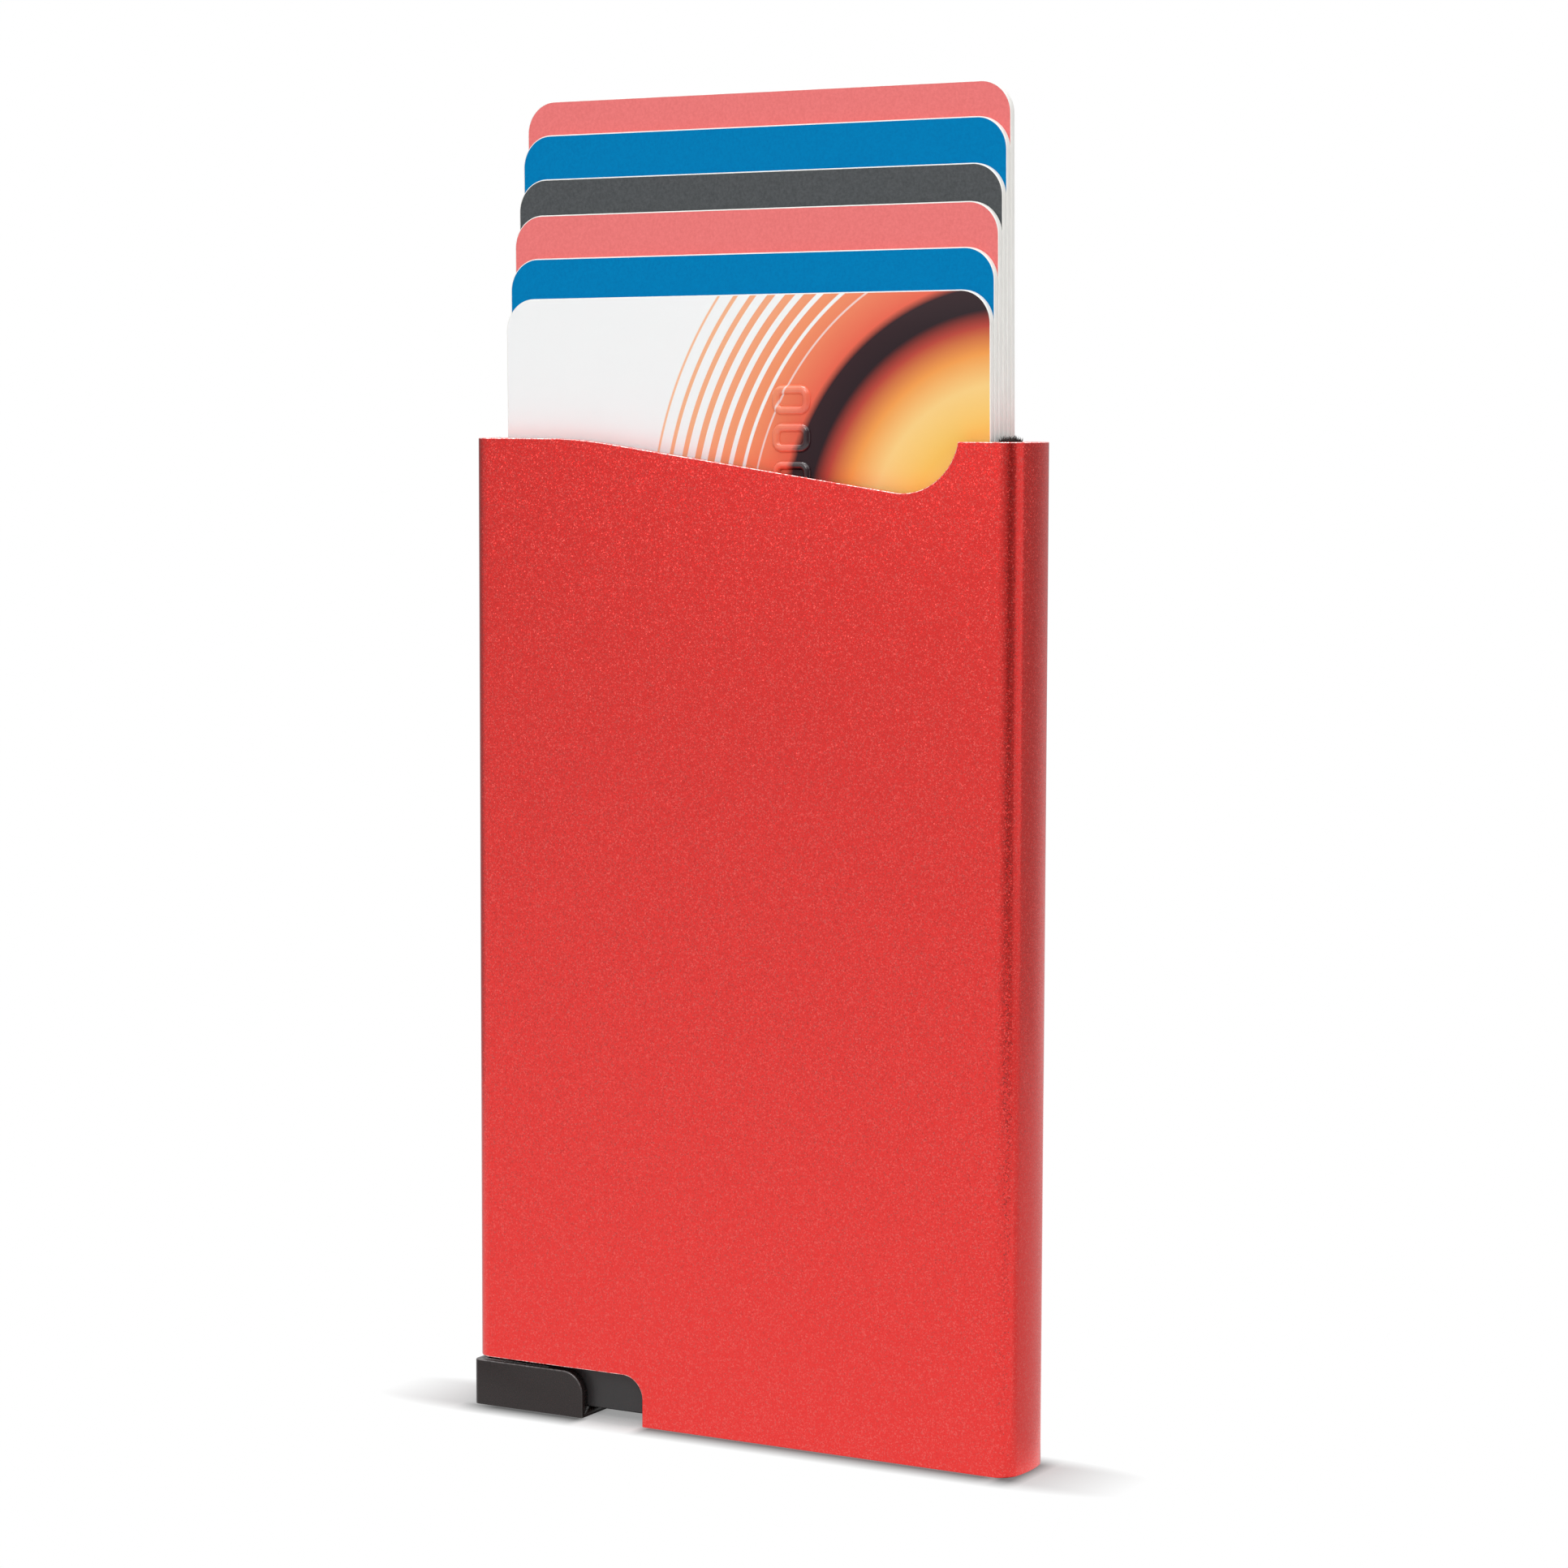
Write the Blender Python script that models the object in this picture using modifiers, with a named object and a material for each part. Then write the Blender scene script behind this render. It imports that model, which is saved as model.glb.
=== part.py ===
"""Aluminium card holder whose corner trigger fans the cards out of the top.

Lengths are in metres, Z is up and Y runs from the front face to the back. The origin is the
middle of the bottom rim. A push on the trigger turns a stepped lever under the cards.
"""
import math

import bmesh
import bpy
from mathutils import Matrix

# Clearances: one for pieces that seat or pass each other, one for the glue under the felt
FIT = 0.0003
GLUE = 0.0001

# Cards: the standard bank card, fanned by the lever and leaning a little in the slot. The
# number of colours, from the front card to the back one, is the number of cards
CARD_WIDTH = 0.05398
CARD_HEIGHT = 0.08560
CARD_THICK = 0.00076
CARD_CORNER = 0.00318
CARD_GAP = 0.00004
CARD_LEAN = math.radians(0.55)
CARD_SHIFT = 0.00023
CARD_SIDE_PLAY = 0.0001
CARD_COLOURS = (
    (0.90, 0.86, 0.80),
    (0.01, 0.22, 0.50),
    (0.86, 0.20, 0.22),
    (0.08, 0.09, 0.10),
    (0.01, 0.22, 0.50),
    (0.86, 0.20, 0.22),
)

# Sleeve: an aluminium tube with wide faces and narrow, thicker sides
FACE_WALL = 0.0010
SIDE_WALL = 0.00205
SLEEVE_CORNER = 0.0025
SLOT_CORNER = 0.0005
SLOT_FRONT_PLAY = 0.00045
SLOT_BACK_PLAY = 0.00099
RIM_ABOVE_CARDS = 0.0026
SLEEVE_EDGE_BREAK = 0.00012

# Thumb cut in the front wall: a long slope that ends in a round hollow
THUMB_SLOPE = math.radians(7.8)
THUMB_RADIUS = 0.0060
THUMB_CENTRE_X = 0.0183
THUMB_CENTRE_ABOVE_RIM = 0.0011
THUMB_BLEND = 0.050

# Corner cut at the lower left, where the trigger slides
CUT_WIDTH = 0.0205
CUT_HEIGHT = 0.00505
CUT_CORNER = 0.0023

# Felt strips glued to the slot's narrow sides; the right one stands a little above the rim
FELT_THICK = 0.0008
FELT_SIDE_GAP = 0.0002
FELT_LEFT_BELOW_RIM = 0.0004
FELT_RIGHT_ABOVE_RIM = 0.0003
FELT_ABOVE_POSTS = 0.0023
FELT_ROUND = 0.0003

# Trigger: a channel under the base with a fork that drives the lever
TRIGGER_TRAVEL = 0.0070
TRIGGER_REVEAL = 0.0004
TRIGGER_SINK = 0.00005
TRIGGER_FOOT = 0.00012
TRIGGER_FLOOR = 0.00063
TRIGGER_END_WALL = 0.00095
TRIGGER_SIDE_ROUND = 0.0006
TRIGGER_TOP_ROUND = 0.0003
FORK_FROM_END = 0.00965
FORK_PRONG = 0.0009
FORK_PLAY = 0.0002
FOOT_FILLET = 0.0005
HOOK_HEIGHT = 0.0006
NUB_RADIUS = 0.0006
NUB_LENGTH = 0.0015

# Lever: a hub, a crank down to the fork, and an arm that is one step longer for each card
ARM_STEPS = (0.00426, 0.00458, 0.00383, 0.00468, 0.00362)
CRANK_DROP = 0.0050
CRANK_THICK = 0.0007
STUB_RADIUS = 0.00075
STUB_CLEARANCE = 0.0002
BAR_RADIUS = 0.0012
BAR_OFFSET = 0.0007
HUB_SIDE_PLAY = 0.00015
ARM_START_GAP = 0.0007
PIN_RADIUS = 0.00075
PIN_PLAY = 0.00007

# Base: a moulded trough that closes the bottom and carries the lever
BASE_LIFT = 0.0010
BASE_FLOOR = 0.0007
BASE_WALL = 0.0007
BASE_EDGE = 0.0002
POST_WALL = 0.0009
POST_GAP = 0.0010
RIGHT_POST_WIDTH = 0.0042
RIB_THICK = 0.0008
RIB_POCKETS = 4
CRUSH_RIB_RADIUS = 0.0004
CRUSH_RIB_LOW = 0.0016
CRUSH_RIBS = 3

# Return spring: an open coil between the fork and the base's stop rib
SPRING_WIRE = 0.0003
SPRING_RADIUS = 0.00105
SPRING_TURNS = 9
SPRING_LENGTH = 0.0120
SPRING_SIDE_GAP = 0.0004
SPRING_POINTS = 10

# Facets and working margins
CORNER_STEPS = 6
ROUND_SIDES = 28
OVERCUT = 0.0010
WELD = 0.000001
SMOOTH_ANGLE = math.radians(35)

# Sizes that follow from the ones above
CARD_COUNT = len(CARD_COLOURS)
CARD_PITCH = CARD_THICK + CARD_GAP
STACK_DEPTH = (CARD_COUNT - 1) * CARD_PITCH + CARD_THICK
SLOT_HALF_DEPTH = (STACK_DEPTH + SLOT_FRONT_PLAY + SLOT_BACK_PLAY) / 2
SLEEVE_HALF_DEPTH = SLOT_HALF_DEPTH + FACE_WALL
CARD_HALF_SPAN = CARD_WIDTH / 2 * math.cos(CARD_LEAN) + CARD_HEIGHT / 2 * math.sin(CARD_LEAN)
FELT_FACE = CARD_HALF_SPAN + abs(CARD_SHIFT) + CARD_SIDE_PLAY
SLOT_HALF_WIDTH = FELT_FACE + FELT_THICK + GLUE
SLEEVE_HALF_WIDTH = SLOT_HALF_WIDTH + SIDE_WALL
STACK_FRONT = -SLOT_HALF_DEPTH + SLOT_FRONT_PLAY
STACK_BACK = STACK_FRONT + STACK_DEPTH

CUT_END = -SLEEVE_HALF_WIDTH + CUT_WIDTH
TRIGGER_LEFT = -SLEEVE_HALF_WIDTH + TRIGGER_SINK
TRIGGER_RIGHT = CUT_END - TRIGGER_REVEAL - TRIGGER_TRAVEL
TRIGGER_TOP = CUT_HEIGHT - TRIGGER_REVEAL
TRIGGER_HALF_DEPTH = SLEEVE_HALF_DEPTH - TRIGGER_SINK
TRIGGER_FLOOR_TOP = TRIGGER_FOOT + TRIGGER_FLOOR

BASE_HALF_DEPTH = SLOT_HALF_DEPTH - FIT
BASE_HALF_WIDTH = SLOT_HALF_WIDTH - FIT
TROUGH_HALF = BASE_HALF_DEPTH - BASE_WALL
FLOOR_TOP = BASE_LIFT + BASE_FLOOR
FLOOR_START = TRIGGER_LEFT + TRIGGER_END_WALL + TRIGGER_TRAVEL + FIT

FORK_X = TRIGGER_LEFT + FORK_FROM_END
FORK_HALF_SLOT = STUB_RADIUS + FORK_PLAY
FORK_FACE = FORK_X + FORK_HALF_SLOT + FORK_PRONG
CRANK_LENGTH = math.hypot(TRIGGER_TRAVEL / 2, CRANK_DROP)
LEVER_TURN = 2 * math.atan2(TRIGGER_TRAVEL / 2, CRANK_DROP)
PIVOT_X = FORK_X + TRIGGER_TRAVEL / 2
PIVOT_Z = TRIGGER_FLOOR_TOP + STUB_CLEARANCE + STUB_RADIUS + CRANK_LENGTH
POST_TOP = PIVOT_Z + BAR_OFFSET + BAR_RADIUS
WALL_TOP = PIVOT_Z + BAR_OFFSET - BAR_RADIUS - FIT
HUB_RADIUS = POST_TOP - PIVOT_Z
HUB_HALF_WIDTH = TROUGH_HALF - HUB_SIDE_PLAY
HOLE_RADIUS = PIN_RADIUS + PIN_PLAY
CRANK_FRONT = -HUB_HALF_WIDTH + HUB_SIDE_PLAY / 2
CRANK_BACK = CRANK_FRONT + CRANK_THICK

SPRING_OUTER = SPRING_RADIUS + SPRING_WIRE / 2
SPRING_Y = CRANK_BACK + SPRING_SIDE_GAP + SPRING_OUTER
SPRING_Z = FLOOR_TOP + FIT + SPRING_OUTER
SPRING_SEAT = FIT / 2
SPRING_LEFT = FORK_FACE + SPRING_SEAT
STOP_RIB = SPRING_LEFT + SPRING_LENGTH + SPRING_SEAT

FORK_FRONT = CRANK_BACK + FIT
FORK_BACK = SPRING_Y + NUB_RADIUS
FLOOR_SLOT_BACK = FORK_BACK + FIT
FLOOR_SLOT_END = FORK_FACE + TRIGGER_TRAVEL + FIT

CARD_FLOOR = POST_TOP + FIT + CARD_WIDTH / 2 * math.sin(CARD_LEAN)
SLEEVE_HEIGHT = CARD_FLOOR + CARD_HEIGHT + RIM_ABOVE_CARDS
ARM_START = HUB_RADIUS + ARM_START_GAP
RIGHT_POST = BASE_HALF_WIDTH - RIGHT_POST_WIDTH
LONGEST_ARM = RIGHT_POST - POST_GAP - BAR_RADIUS - PIVOT_X


def arm_reach(index):
    """Length of the arm's step under a card, counted from the front card."""
    return LONGEST_ARM - sum(ARM_STEPS[index:])


def card_rise(index):
    """How far the fully turned lever lifts a card off its seat."""
    turned_tip = BAR_RADIUS + BAR_OFFSET * math.cos(LEVER_TURN) + arm_reach(index) * math.sin(LEVER_TURN)
    return PIVOT_Z + turned_tip + FIT - CARD_FLOOR


# Turns an outline that is drawn flat so that it stands up and faces the front
UPRIGHT = Matrix.Rotation(math.radians(90), 4, "X")


def clear_scene():
    for thing in list(bpy.data.objects):
        bpy.data.objects.remove(thing)


def new_group(name):
    group = bpy.data.collections.new(name)
    bpy.context.scene.collection.children.link(group)
    return group


def finish(name, colour, roughness, metallic):
    """A Principled material of one colour."""
    material = bpy.data.materials.new(name)
    material.use_nodes = True
    shader = material.node_tree.nodes["Principled BSDF"]
    shader.inputs["Base Color"].default_value = (*colour, 1.0)
    shader.inputs["Roughness"].default_value = roughness
    shader.inputs["Metallic"].default_value = metallic
    return material


def arc(centre, radius, start, end, steps=CORNER_STEPS):
    """Points along an arc, both ends included, with angles in degrees."""
    points = []
    for step in range(steps + 1):
        angle = math.radians(start + (end - start) * step / steps)
        points.append((centre[0] + radius * math.cos(angle), centre[1] + radius * math.sin(angle)))
    return points


def rounded_box(left, low, right, high, radii):
    """Outline of a rectangle, with the radii given from the lower left corner round."""
    corners = (
        (left, low, 1, 1, 180),
        (right, low, -1, 1, 270),
        (right, high, -1, -1, 0),
        (left, high, 1, -1, 90),
    )
    outline = []
    for (x, y, inward_x, inward_y, start), radius in zip(corners, radii):
        if radius:
            centre = (x + inward_x * radius, y + inward_y * radius)
            outline += arc(centre, radius, start, start + 90)
        else:
            outline.append((x, y))
    return outline


def circle(radius, centre=(0.0, 0.0)):
    return arc(centre, radius, 0, 360, ROUND_SIDES)[:-1]


def weld(mesh):
    """Join the loose caps to the sides and point every face outwards."""
    form = bmesh.new()
    form.from_mesh(mesh)
    bmesh.ops.remove_doubles(form, verts=form.verts, dist=WELD)
    bmesh.ops.recalc_face_normals(form, faces=form.faces)
    form.to_mesh(mesh)
    form.free()


def solid_from_curve(drawn, group):
    """Replace a drawn curve by a closed mesh in the same place."""
    bpy.context.view_layer.update()
    evaluated = drawn.evaluated_get(bpy.context.evaluated_depsgraph_get())
    mesh = bpy.data.meshes.new_from_object(evaluated)
    name = drawn.name
    place = drawn.matrix_world.copy()
    curve = drawn.data
    bpy.data.objects.remove(drawn)
    bpy.data.curves.remove(curve)
    weld(mesh)
    mesh.name = name
    body = bpy.data.objects.new(name, mesh)
    group.objects.link(body)
    body.matrix_world = place
    return body


def extrude(name, loops, thickness, place, group):
    """Solid of a flat outline, half its thickness to each side of the outline's plane."""
    curve = bpy.data.curves.new(name, "CURVE")
    curve.dimensions = "2D"
    curve.fill_mode = "BOTH"
    curve.extrude = thickness / 2
    for loop in loops:
        spline = curve.splines.new("POLY")
        spline.points.add(len(loop) - 1)
        for point, (x, y) in zip(spline.points, loop):
            point.co = (x, y, 0.0, 1.0)
        spline.use_cyclic_u = True
    drawn = bpy.data.objects.new(name, curve)
    group.objects.link(drawn)
    drawn.matrix_world = place
    return solid_from_curve(drawn, group)


def standing(name, loop, front, back, group, origin=(0.0, 0.0)):
    """Solid of an outline seen from the front, between two depths."""
    centre = Matrix.Translation((origin[0], (front + back) / 2, origin[1]))
    return extrude(name, [loop], back - front, centre @ UPRIGHT, group)


def lying(name, loop, left, right, group):
    """Solid of an outline seen from the right end, between two places along the width."""
    centre = Matrix.Translation(((left + right) / 2, 0.0, 0.0))
    quarter = Matrix.Rotation(math.radians(90), 4, "Z")
    return extrude(name, [loop], right - left, centre @ quarter @ UPRIGHT, group)


def rising(name, loops, low, high, group):
    """Solid of an outline seen from above, between two heights."""
    centre = Matrix.Translation((0.0, 0.0, (low + high) / 2))
    return extrude(name, loops, high - low, centre, group)


def bevel(body, width, segments=1):
    modifier = body.modifiers.new("edge_break", "BEVEL")
    modifier.width = width
    modifier.segments = segments
    modifier.limit_method = "ANGLE"
    modifier.angle_limit = SMOOTH_ANGLE


def combine(body, tool, operation):
    """Cut, join or cross a body with a tool that is hidden afterwards."""
    modifier = body.modifiers.new(tool.name, "BOOLEAN")
    modifier.operation = operation
    modifier.object = tool
    tool.hide_render = True
    tool.display_type = "WIRE"


def dress(body, material):
    body.data.materials.clear()
    body.data.materials.append(material)
    body.data.shade_smooth()
    body.data.set_sharp_from_angle(angle=SMOOTH_ANGLE)


def thumb_outline():
    """Open mouth of the front wall: round hollow at the right, long slope to the left rim."""
    centre = (THUMB_CENTRE_X, SLEEVE_HEIGHT + THUMB_CENTRE_ABOVE_RIM)
    slope = math.degrees(THUMB_SLOPE)
    mouth = -math.degrees(math.asin(THUMB_CENTRE_ABOVE_RIM / THUMB_RADIUS))
    hollow = arc(centre, THUMB_RADIUS, mouth, -90 - slope, 2 * CORNER_STEPS)
    touch_x, touch_z = hollow[-1]
    slope_top = touch_x - (SLEEVE_HEIGHT - touch_z) / math.tan(THUMB_SLOPE)
    tangent = THUMB_BLEND * math.tan(THUMB_SLOPE / 2)
    blend_centre = (slope_top - tangent, SLEEVE_HEIGHT - THUMB_BLEND)
    blend = arc(blend_centre, THUMB_BLEND, 90 - slope, 90)
    above = SLEEVE_HEIGHT + OVERCUT
    return hollow + blend + [(blend[-1][0], above), (hollow[0][0], above)]


def build_sleeve(parts, tools):
    half_width = SLEEVE_HALF_WIDTH
    half_depth = SLEEVE_HALF_DEPTH
    outside = rounded_box(-half_width, -half_depth, half_width, half_depth, [SLEEVE_CORNER] * 4)
    slot = rounded_box(
        -SLOT_HALF_WIDTH, -SLOT_HALF_DEPTH, SLOT_HALF_WIDTH, SLOT_HALF_DEPTH, [SLOT_CORNER] * 4
    )
    sleeve = rising("case_sleeve", [outside, slot], 0.0, SLEEVE_HEIGHT, parts)
    thumb = standing("thumb_cut", thumb_outline(), -half_depth - OVERCUT, 0.0, tools)
    combine(sleeve, thumb, "DIFFERENCE")
    corner = rounded_box(-half_width - OVERCUT, -OVERCUT, CUT_END, CUT_HEIGHT, (0, 0, CUT_CORNER, 0))
    reach = half_depth + OVERCUT
    combine(sleeve, standing("corner_cut", corner, -reach, reach, tools), "DIFFERENCE")
    bevel(sleeve, SLEEVE_EDGE_BREAK)
    dress(sleeve, finish("red_aluminium", (0.62, 0.03, 0.035), 0.42, 0.9))


def build_felt(name, side, above_rim, parts):
    """Strip with soft edges on one narrow side of the slot."""
    near = side * FELT_FACE
    far = side * (FELT_FACE + FELT_THICK)
    half_depth = SLOT_HALF_DEPTH - FELT_SIDE_GAP
    outline = rounded_box(min(near, far), -half_depth, max(near, far), half_depth, [FELT_ROUND] * 4)
    low = POST_TOP + FELT_ABOVE_POSTS
    strip = rising(name, [outline], low, SLEEVE_HEIGHT + above_rim, parts)
    dress(strip, finish(name, (0.012, 0.012, 0.013), 0.95, 0.0))


def base_outline():
    """Front view of the base: floor, right post, trough walls, pivot ear and left post."""
    ear = math.degrees(math.asin((WALL_TOP - PIVOT_Z) / HUB_RADIUS))
    return [
        (FLOOR_START, BASE_LIFT),
        (BASE_HALF_WIDTH, BASE_LIFT),
        (BASE_HALF_WIDTH, POST_TOP),
        (RIGHT_POST, POST_TOP),
        (RIGHT_POST, WALL_TOP),
        *arc((PIVOT_X, PIVOT_Z), HUB_RADIUS, ear, 180 - ear, 2 * CORNER_STEPS),
        (FLOOR_START, WALL_TOP),
        (FLOOR_START, POST_TOP),
        (-BASE_HALF_WIDTH, POST_TOP),
        (-BASE_HALF_WIDTH, CUT_HEIGHT),
        (FLOOR_START, CUT_HEIGHT),
    ]


def build_base(parts, tools):
    base = standing("base_frame", base_outline(), -BASE_HALF_DEPTH, BASE_HALF_DEPTH, parts)
    bevel(base, BASE_EDGE)
    above = POST_TOP + OVERCUT
    mechanism = [
        (FLOOR_START - OVERCUT, FLOOR_TOP),
        (STOP_RIB, FLOOR_TOP),
        (STOP_RIB, above),
        (FLOOR_START + POST_WALL, above),
        (FLOOR_START + POST_WALL, CUT_HEIGHT),
        (FLOOR_START - OVERCUT, CUT_HEIGHT),
    ]
    room = standing("mechanism_room", mechanism, -TROUGH_HALF, TROUGH_HALF, tools)
    combine(base, room, "DIFFERENCE")
    first = STOP_RIB + RIB_THICK
    step = (RIGHT_POST + RIB_THICK - first) / RIB_POCKETS
    for index in range(RIB_POCKETS):
        left = first + index * step
        outline = rounded_box(left, FLOOR_TOP, left + step - RIB_THICK, above, (0, 0, 0, 0))
        pocket = standing(f"rib_pocket_{index + 1}", outline, -TROUGH_HALF, TROUGH_HALF, tools)
        combine(base, pocket, "DIFFERENCE")
    slot = rounded_box(FLOOR_START - OVERCUT, 0.0, FLOOR_SLOT_END, FLOOR_TOP + OVERCUT, (0, 0, 0, 0))
    combine(base, standing("floor_slot", slot, -TROUGH_HALF, FLOOR_SLOT_BACK, tools), "DIFFERENCE")
    reach = BASE_HALF_DEPTH + OVERCUT
    hole = standing("ear_hole", circle(HOLE_RADIUS), -reach, reach, tools, (PIVOT_X, PIVOT_Z))
    combine(base, hole, "DIFFERENCE")
    nub_length = NUB_LENGTH + RIB_THICK / 2
    nub = drum("stop_nub", NUB_RADIUS, nub_length, STOP_RIB - NUB_LENGTH, tools)
    combine(base, nub, "UNION")
    crush_centre = SLOT_HALF_DEPTH - GLUE - CRUSH_RIB_RADIUS
    for index in range(CRUSH_RIBS):
        x = STOP_RIB + (RIGHT_POST - STOP_RIB) * (index + 1) / CRUSH_RIBS
        for side, face in ((-1, "front"), (1, "back")):
            outline = circle(CRUSH_RIB_RADIUS, (x, side * crush_centre))
            name = f"crush_rib_{face}_{index + 1}"
            rib = rising(name, [outline], CRUSH_RIB_LOW, WALL_TOP - BASE_EDGE, tools)
            combine(base, rib, "UNION")
    dress(base, finish("grey_plastic", (0.045, 0.05, 0.06), 0.5, 0.0))


def drum(name, radius, length, left, group):
    """Round bar along X in line with the return spring, from its left end."""
    mesh = bpy.data.meshes.new(name)
    form = bmesh.new()
    bmesh.ops.create_cone(
        form, cap_ends=True, segments=ROUND_SIDES // 2, radius1=radius, radius2=radius, depth=length
    )
    form.to_mesh(mesh)
    form.free()
    body = bpy.data.objects.new(name, mesh)
    group.objects.link(body)
    along_x = Matrix.Rotation(math.radians(90), 4, "Y")
    body.matrix_world = Matrix.Translation((left + length / 2, SPRING_Y, SPRING_Z)) @ along_x
    return body


def build_trigger(parts, tools):
    """Channel crossed from its plan and its side view, with the fork on its floor."""
    depth = TRIGGER_HALF_DEPTH
    side = TRIGGER_SIDE_ROUND
    plan = rounded_box(TRIGGER_LEFT, -depth, TRIGGER_RIGHT + OVERCUT, depth, (side, 0, 0, side))
    trigger = rising("trigger_slider", [plan], TRIGGER_FOOT, TRIGGER_TOP + OVERCUT, parts)
    view = rounded_box(
        TRIGGER_LEFT - OVERCUT, TRIGGER_FOOT - OVERCUT, TRIGGER_RIGHT, TRIGGER_TOP,
        (0, 0, CUT_CORNER, TRIGGER_TOP_ROUND),
    )
    reach = depth + OVERCUT
    combine(trigger, standing("trigger_view", view, -reach, reach, tools), "INTERSECT")
    inside = BASE_HALF_DEPTH + FIT
    channel = rounded_box(
        -inside, TRIGGER_FLOOR_TOP, inside, TRIGGER_TOP + OVERCUT, (FOOT_FILLET, FOOT_FILLET, 0, 0)
    )
    start = TRIGGER_LEFT + TRIGGER_END_WALL
    combine(trigger, lying("trigger_channel", channel, start, 0.0, tools), "DIFFERENCE")
    root = TRIGGER_FOOT + TRIGGER_FLOOR / 2
    hook_low = FLOOR_TOP + FIT
    hook_back = TROUGH_HALF - FIT
    for number, left in enumerate((FORK_X - FORK_HALF_SLOT - FORK_PRONG, FORK_X + FORK_HALF_SLOT), 1):
        right = left + FORK_PRONG
        outline = rounded_box(left, root, right, TRIGGER_TOP, (0, 0, TRIGGER_TOP_ROUND, TRIGGER_TOP_ROUND))
        prong = standing(f"fork_prong_{number}", outline, FORK_FRONT, FORK_BACK, tools)
        combine(trigger, prong, "UNION")
        outline = rounded_box(left, hook_low, right, hook_low + HOOK_HEIGHT, (0, 0, 0, 0))
        hook = standing(f"fork_hook_{number}", outline, FORK_BACK - FIT, hook_back, tools)
        combine(trigger, hook, "UNION")
    nub = drum("fork_nub", NUB_RADIUS, NUB_LENGTH + FORK_PRONG / 2, FORK_FACE - FORK_PRONG / 2, tools)
    combine(trigger, nub, "UNION")
    dress(trigger, finish("black_plastic", (0.03, 0.026, 0.026), 0.45, 0.0))


def crank_outline():
    """Tapered arm from the hub down to the stub, tangent to both rounds."""
    tilt = math.degrees(LEVER_TURN / 2)
    stub = (-TRIGGER_TRAVEL / 2, -CRANK_DROP)
    taper = math.degrees(math.asin((HUB_RADIUS - STUB_RADIUS) / CRANK_LENGTH))
    down = -90 - tilt
    outline = arc((0.0, 0.0), HUB_RADIUS, down + 90 - taper, down + 270 + taper, 2 * CORNER_STEPS)
    return outline + arc(stub, STUB_RADIUS, down - 90 + taper, down + 90 - taper, 2 * CORNER_STEPS)


def build_lever(parts, tools):
    """Hub and neck between the ears, the crank with its stub, and one arm step for each card."""
    pivot = (PIVOT_X, PIVOT_Z)
    lever = standing("ejector_lever", circle(HUB_RADIUS), -HUB_HALF_WIDTH, HUB_HALF_WIDTH, parts, pivot)
    crank = standing("lever_crank", crank_outline(), CRANK_FRONT, CRANK_BACK, tools, pivot)
    combine(lever, crank, "UNION")
    stub_outline = circle(STUB_RADIUS, (-TRIGGER_TRAVEL / 2, -CRANK_DROP))
    stub_front = (CRANK_FRONT + CRANK_BACK) / 2
    combine(lever, standing("lever_stub", stub_outline, stub_front, FORK_BACK, tools, pivot), "UNION")
    low = BAR_OFFSET - BAR_RADIUS
    high = BAR_OFFSET + BAR_RADIUS
    neck = rounded_box(0.0, low, ARM_START + OVERCUT, high, (0, 0, 0, 0))
    neck_half = HUB_HALF_WIDTH - HUB_SIDE_PLAY
    combine(lever, standing("lever_neck", neck, -neck_half, neck_half, tools, pivot), "UNION")
    for index in range(CARD_COUNT):
        tip = (arm_reach(index), BAR_OFFSET)
        outline = [(ARM_START, low), *arc(tip, BAR_RADIUS, -90, 90, 2 * CORNER_STEPS)]
        outline.append((ARM_START, high))
        front = STACK_FRONT + index * CARD_PITCH
        step = standing(f"lever_step_{index + 1}", outline, front, STACK_BACK, tools, pivot)
        combine(lever, step, "UNION")
    reach = HUB_HALF_WIDTH + OVERCUT
    bore = standing("lever_bore", circle(HOLE_RADIUS), -reach, reach, tools, pivot)
    combine(lever, bore, "DIFFERENCE")
    dress(lever, finish("lever_plastic", (0.02, 0.02, 0.022), 0.4, 0.0))


def build_pin(parts):
    """Steel pin with broken ends, across both ears and the hub."""
    half = BASE_HALF_DEPTH - GLUE
    pin = standing("pivot_pin", circle(PIN_RADIUS), -half, half, parts, (PIVOT_X, PIVOT_Z))
    bevel(pin, BASE_EDGE)
    dress(pin, finish("steel", (0.55, 0.55, 0.56), 0.3, 1.0))


def build_spring(parts):
    """Open coil along X with both ends of the wire turned square to their seats."""
    run = SPRING_LENGTH - 2 * SPRING_WIRE
    count = SPRING_TURNS * SPRING_POINTS
    coil = []
    for index in range(count + 1):
        angle = 2 * math.pi * index / SPRING_POINTS
        along = SPRING_WIRE + run * index / count
        coil.append((along, SPRING_RADIUS * math.cos(angle), SPRING_RADIUS * math.sin(angle)))
    points = [(0.0, *coil[0][1:]), *coil, (SPRING_LENGTH, *coil[-1][1:])]
    half_turn = SPRING_POINTS // 2
    closest = min(
        math.dist(points[first], points[second])
        for first in range(len(points))
        for second in range(first + half_turn, len(points))
    )
    print(f"return_spring least gap to itself {(closest - SPRING_WIRE) * 1000:.2f} mm")
    curve = bpy.data.curves.new("return_spring", "CURVE")
    curve.dimensions = "3D"
    curve.bevel_depth = SPRING_WIRE / 2
    curve.bevel_resolution = 1
    curve.use_fill_caps = True
    spline = curve.splines.new("POLY")
    spline.points.add(len(points) - 1)
    for point, place in zip(spline.points, points):
        point.co = (*place, 1.0)
    drawn = bpy.data.objects.new("return_spring", curve)
    parts.objects.link(drawn)
    drawn.location = (SPRING_LEFT, SPRING_Y, SPRING_Z)
    spring = solid_from_curve(drawn, parts)
    dress(spring, finish("spring_steel", (0.5, 0.5, 0.52), 0.3, 1.0))


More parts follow.
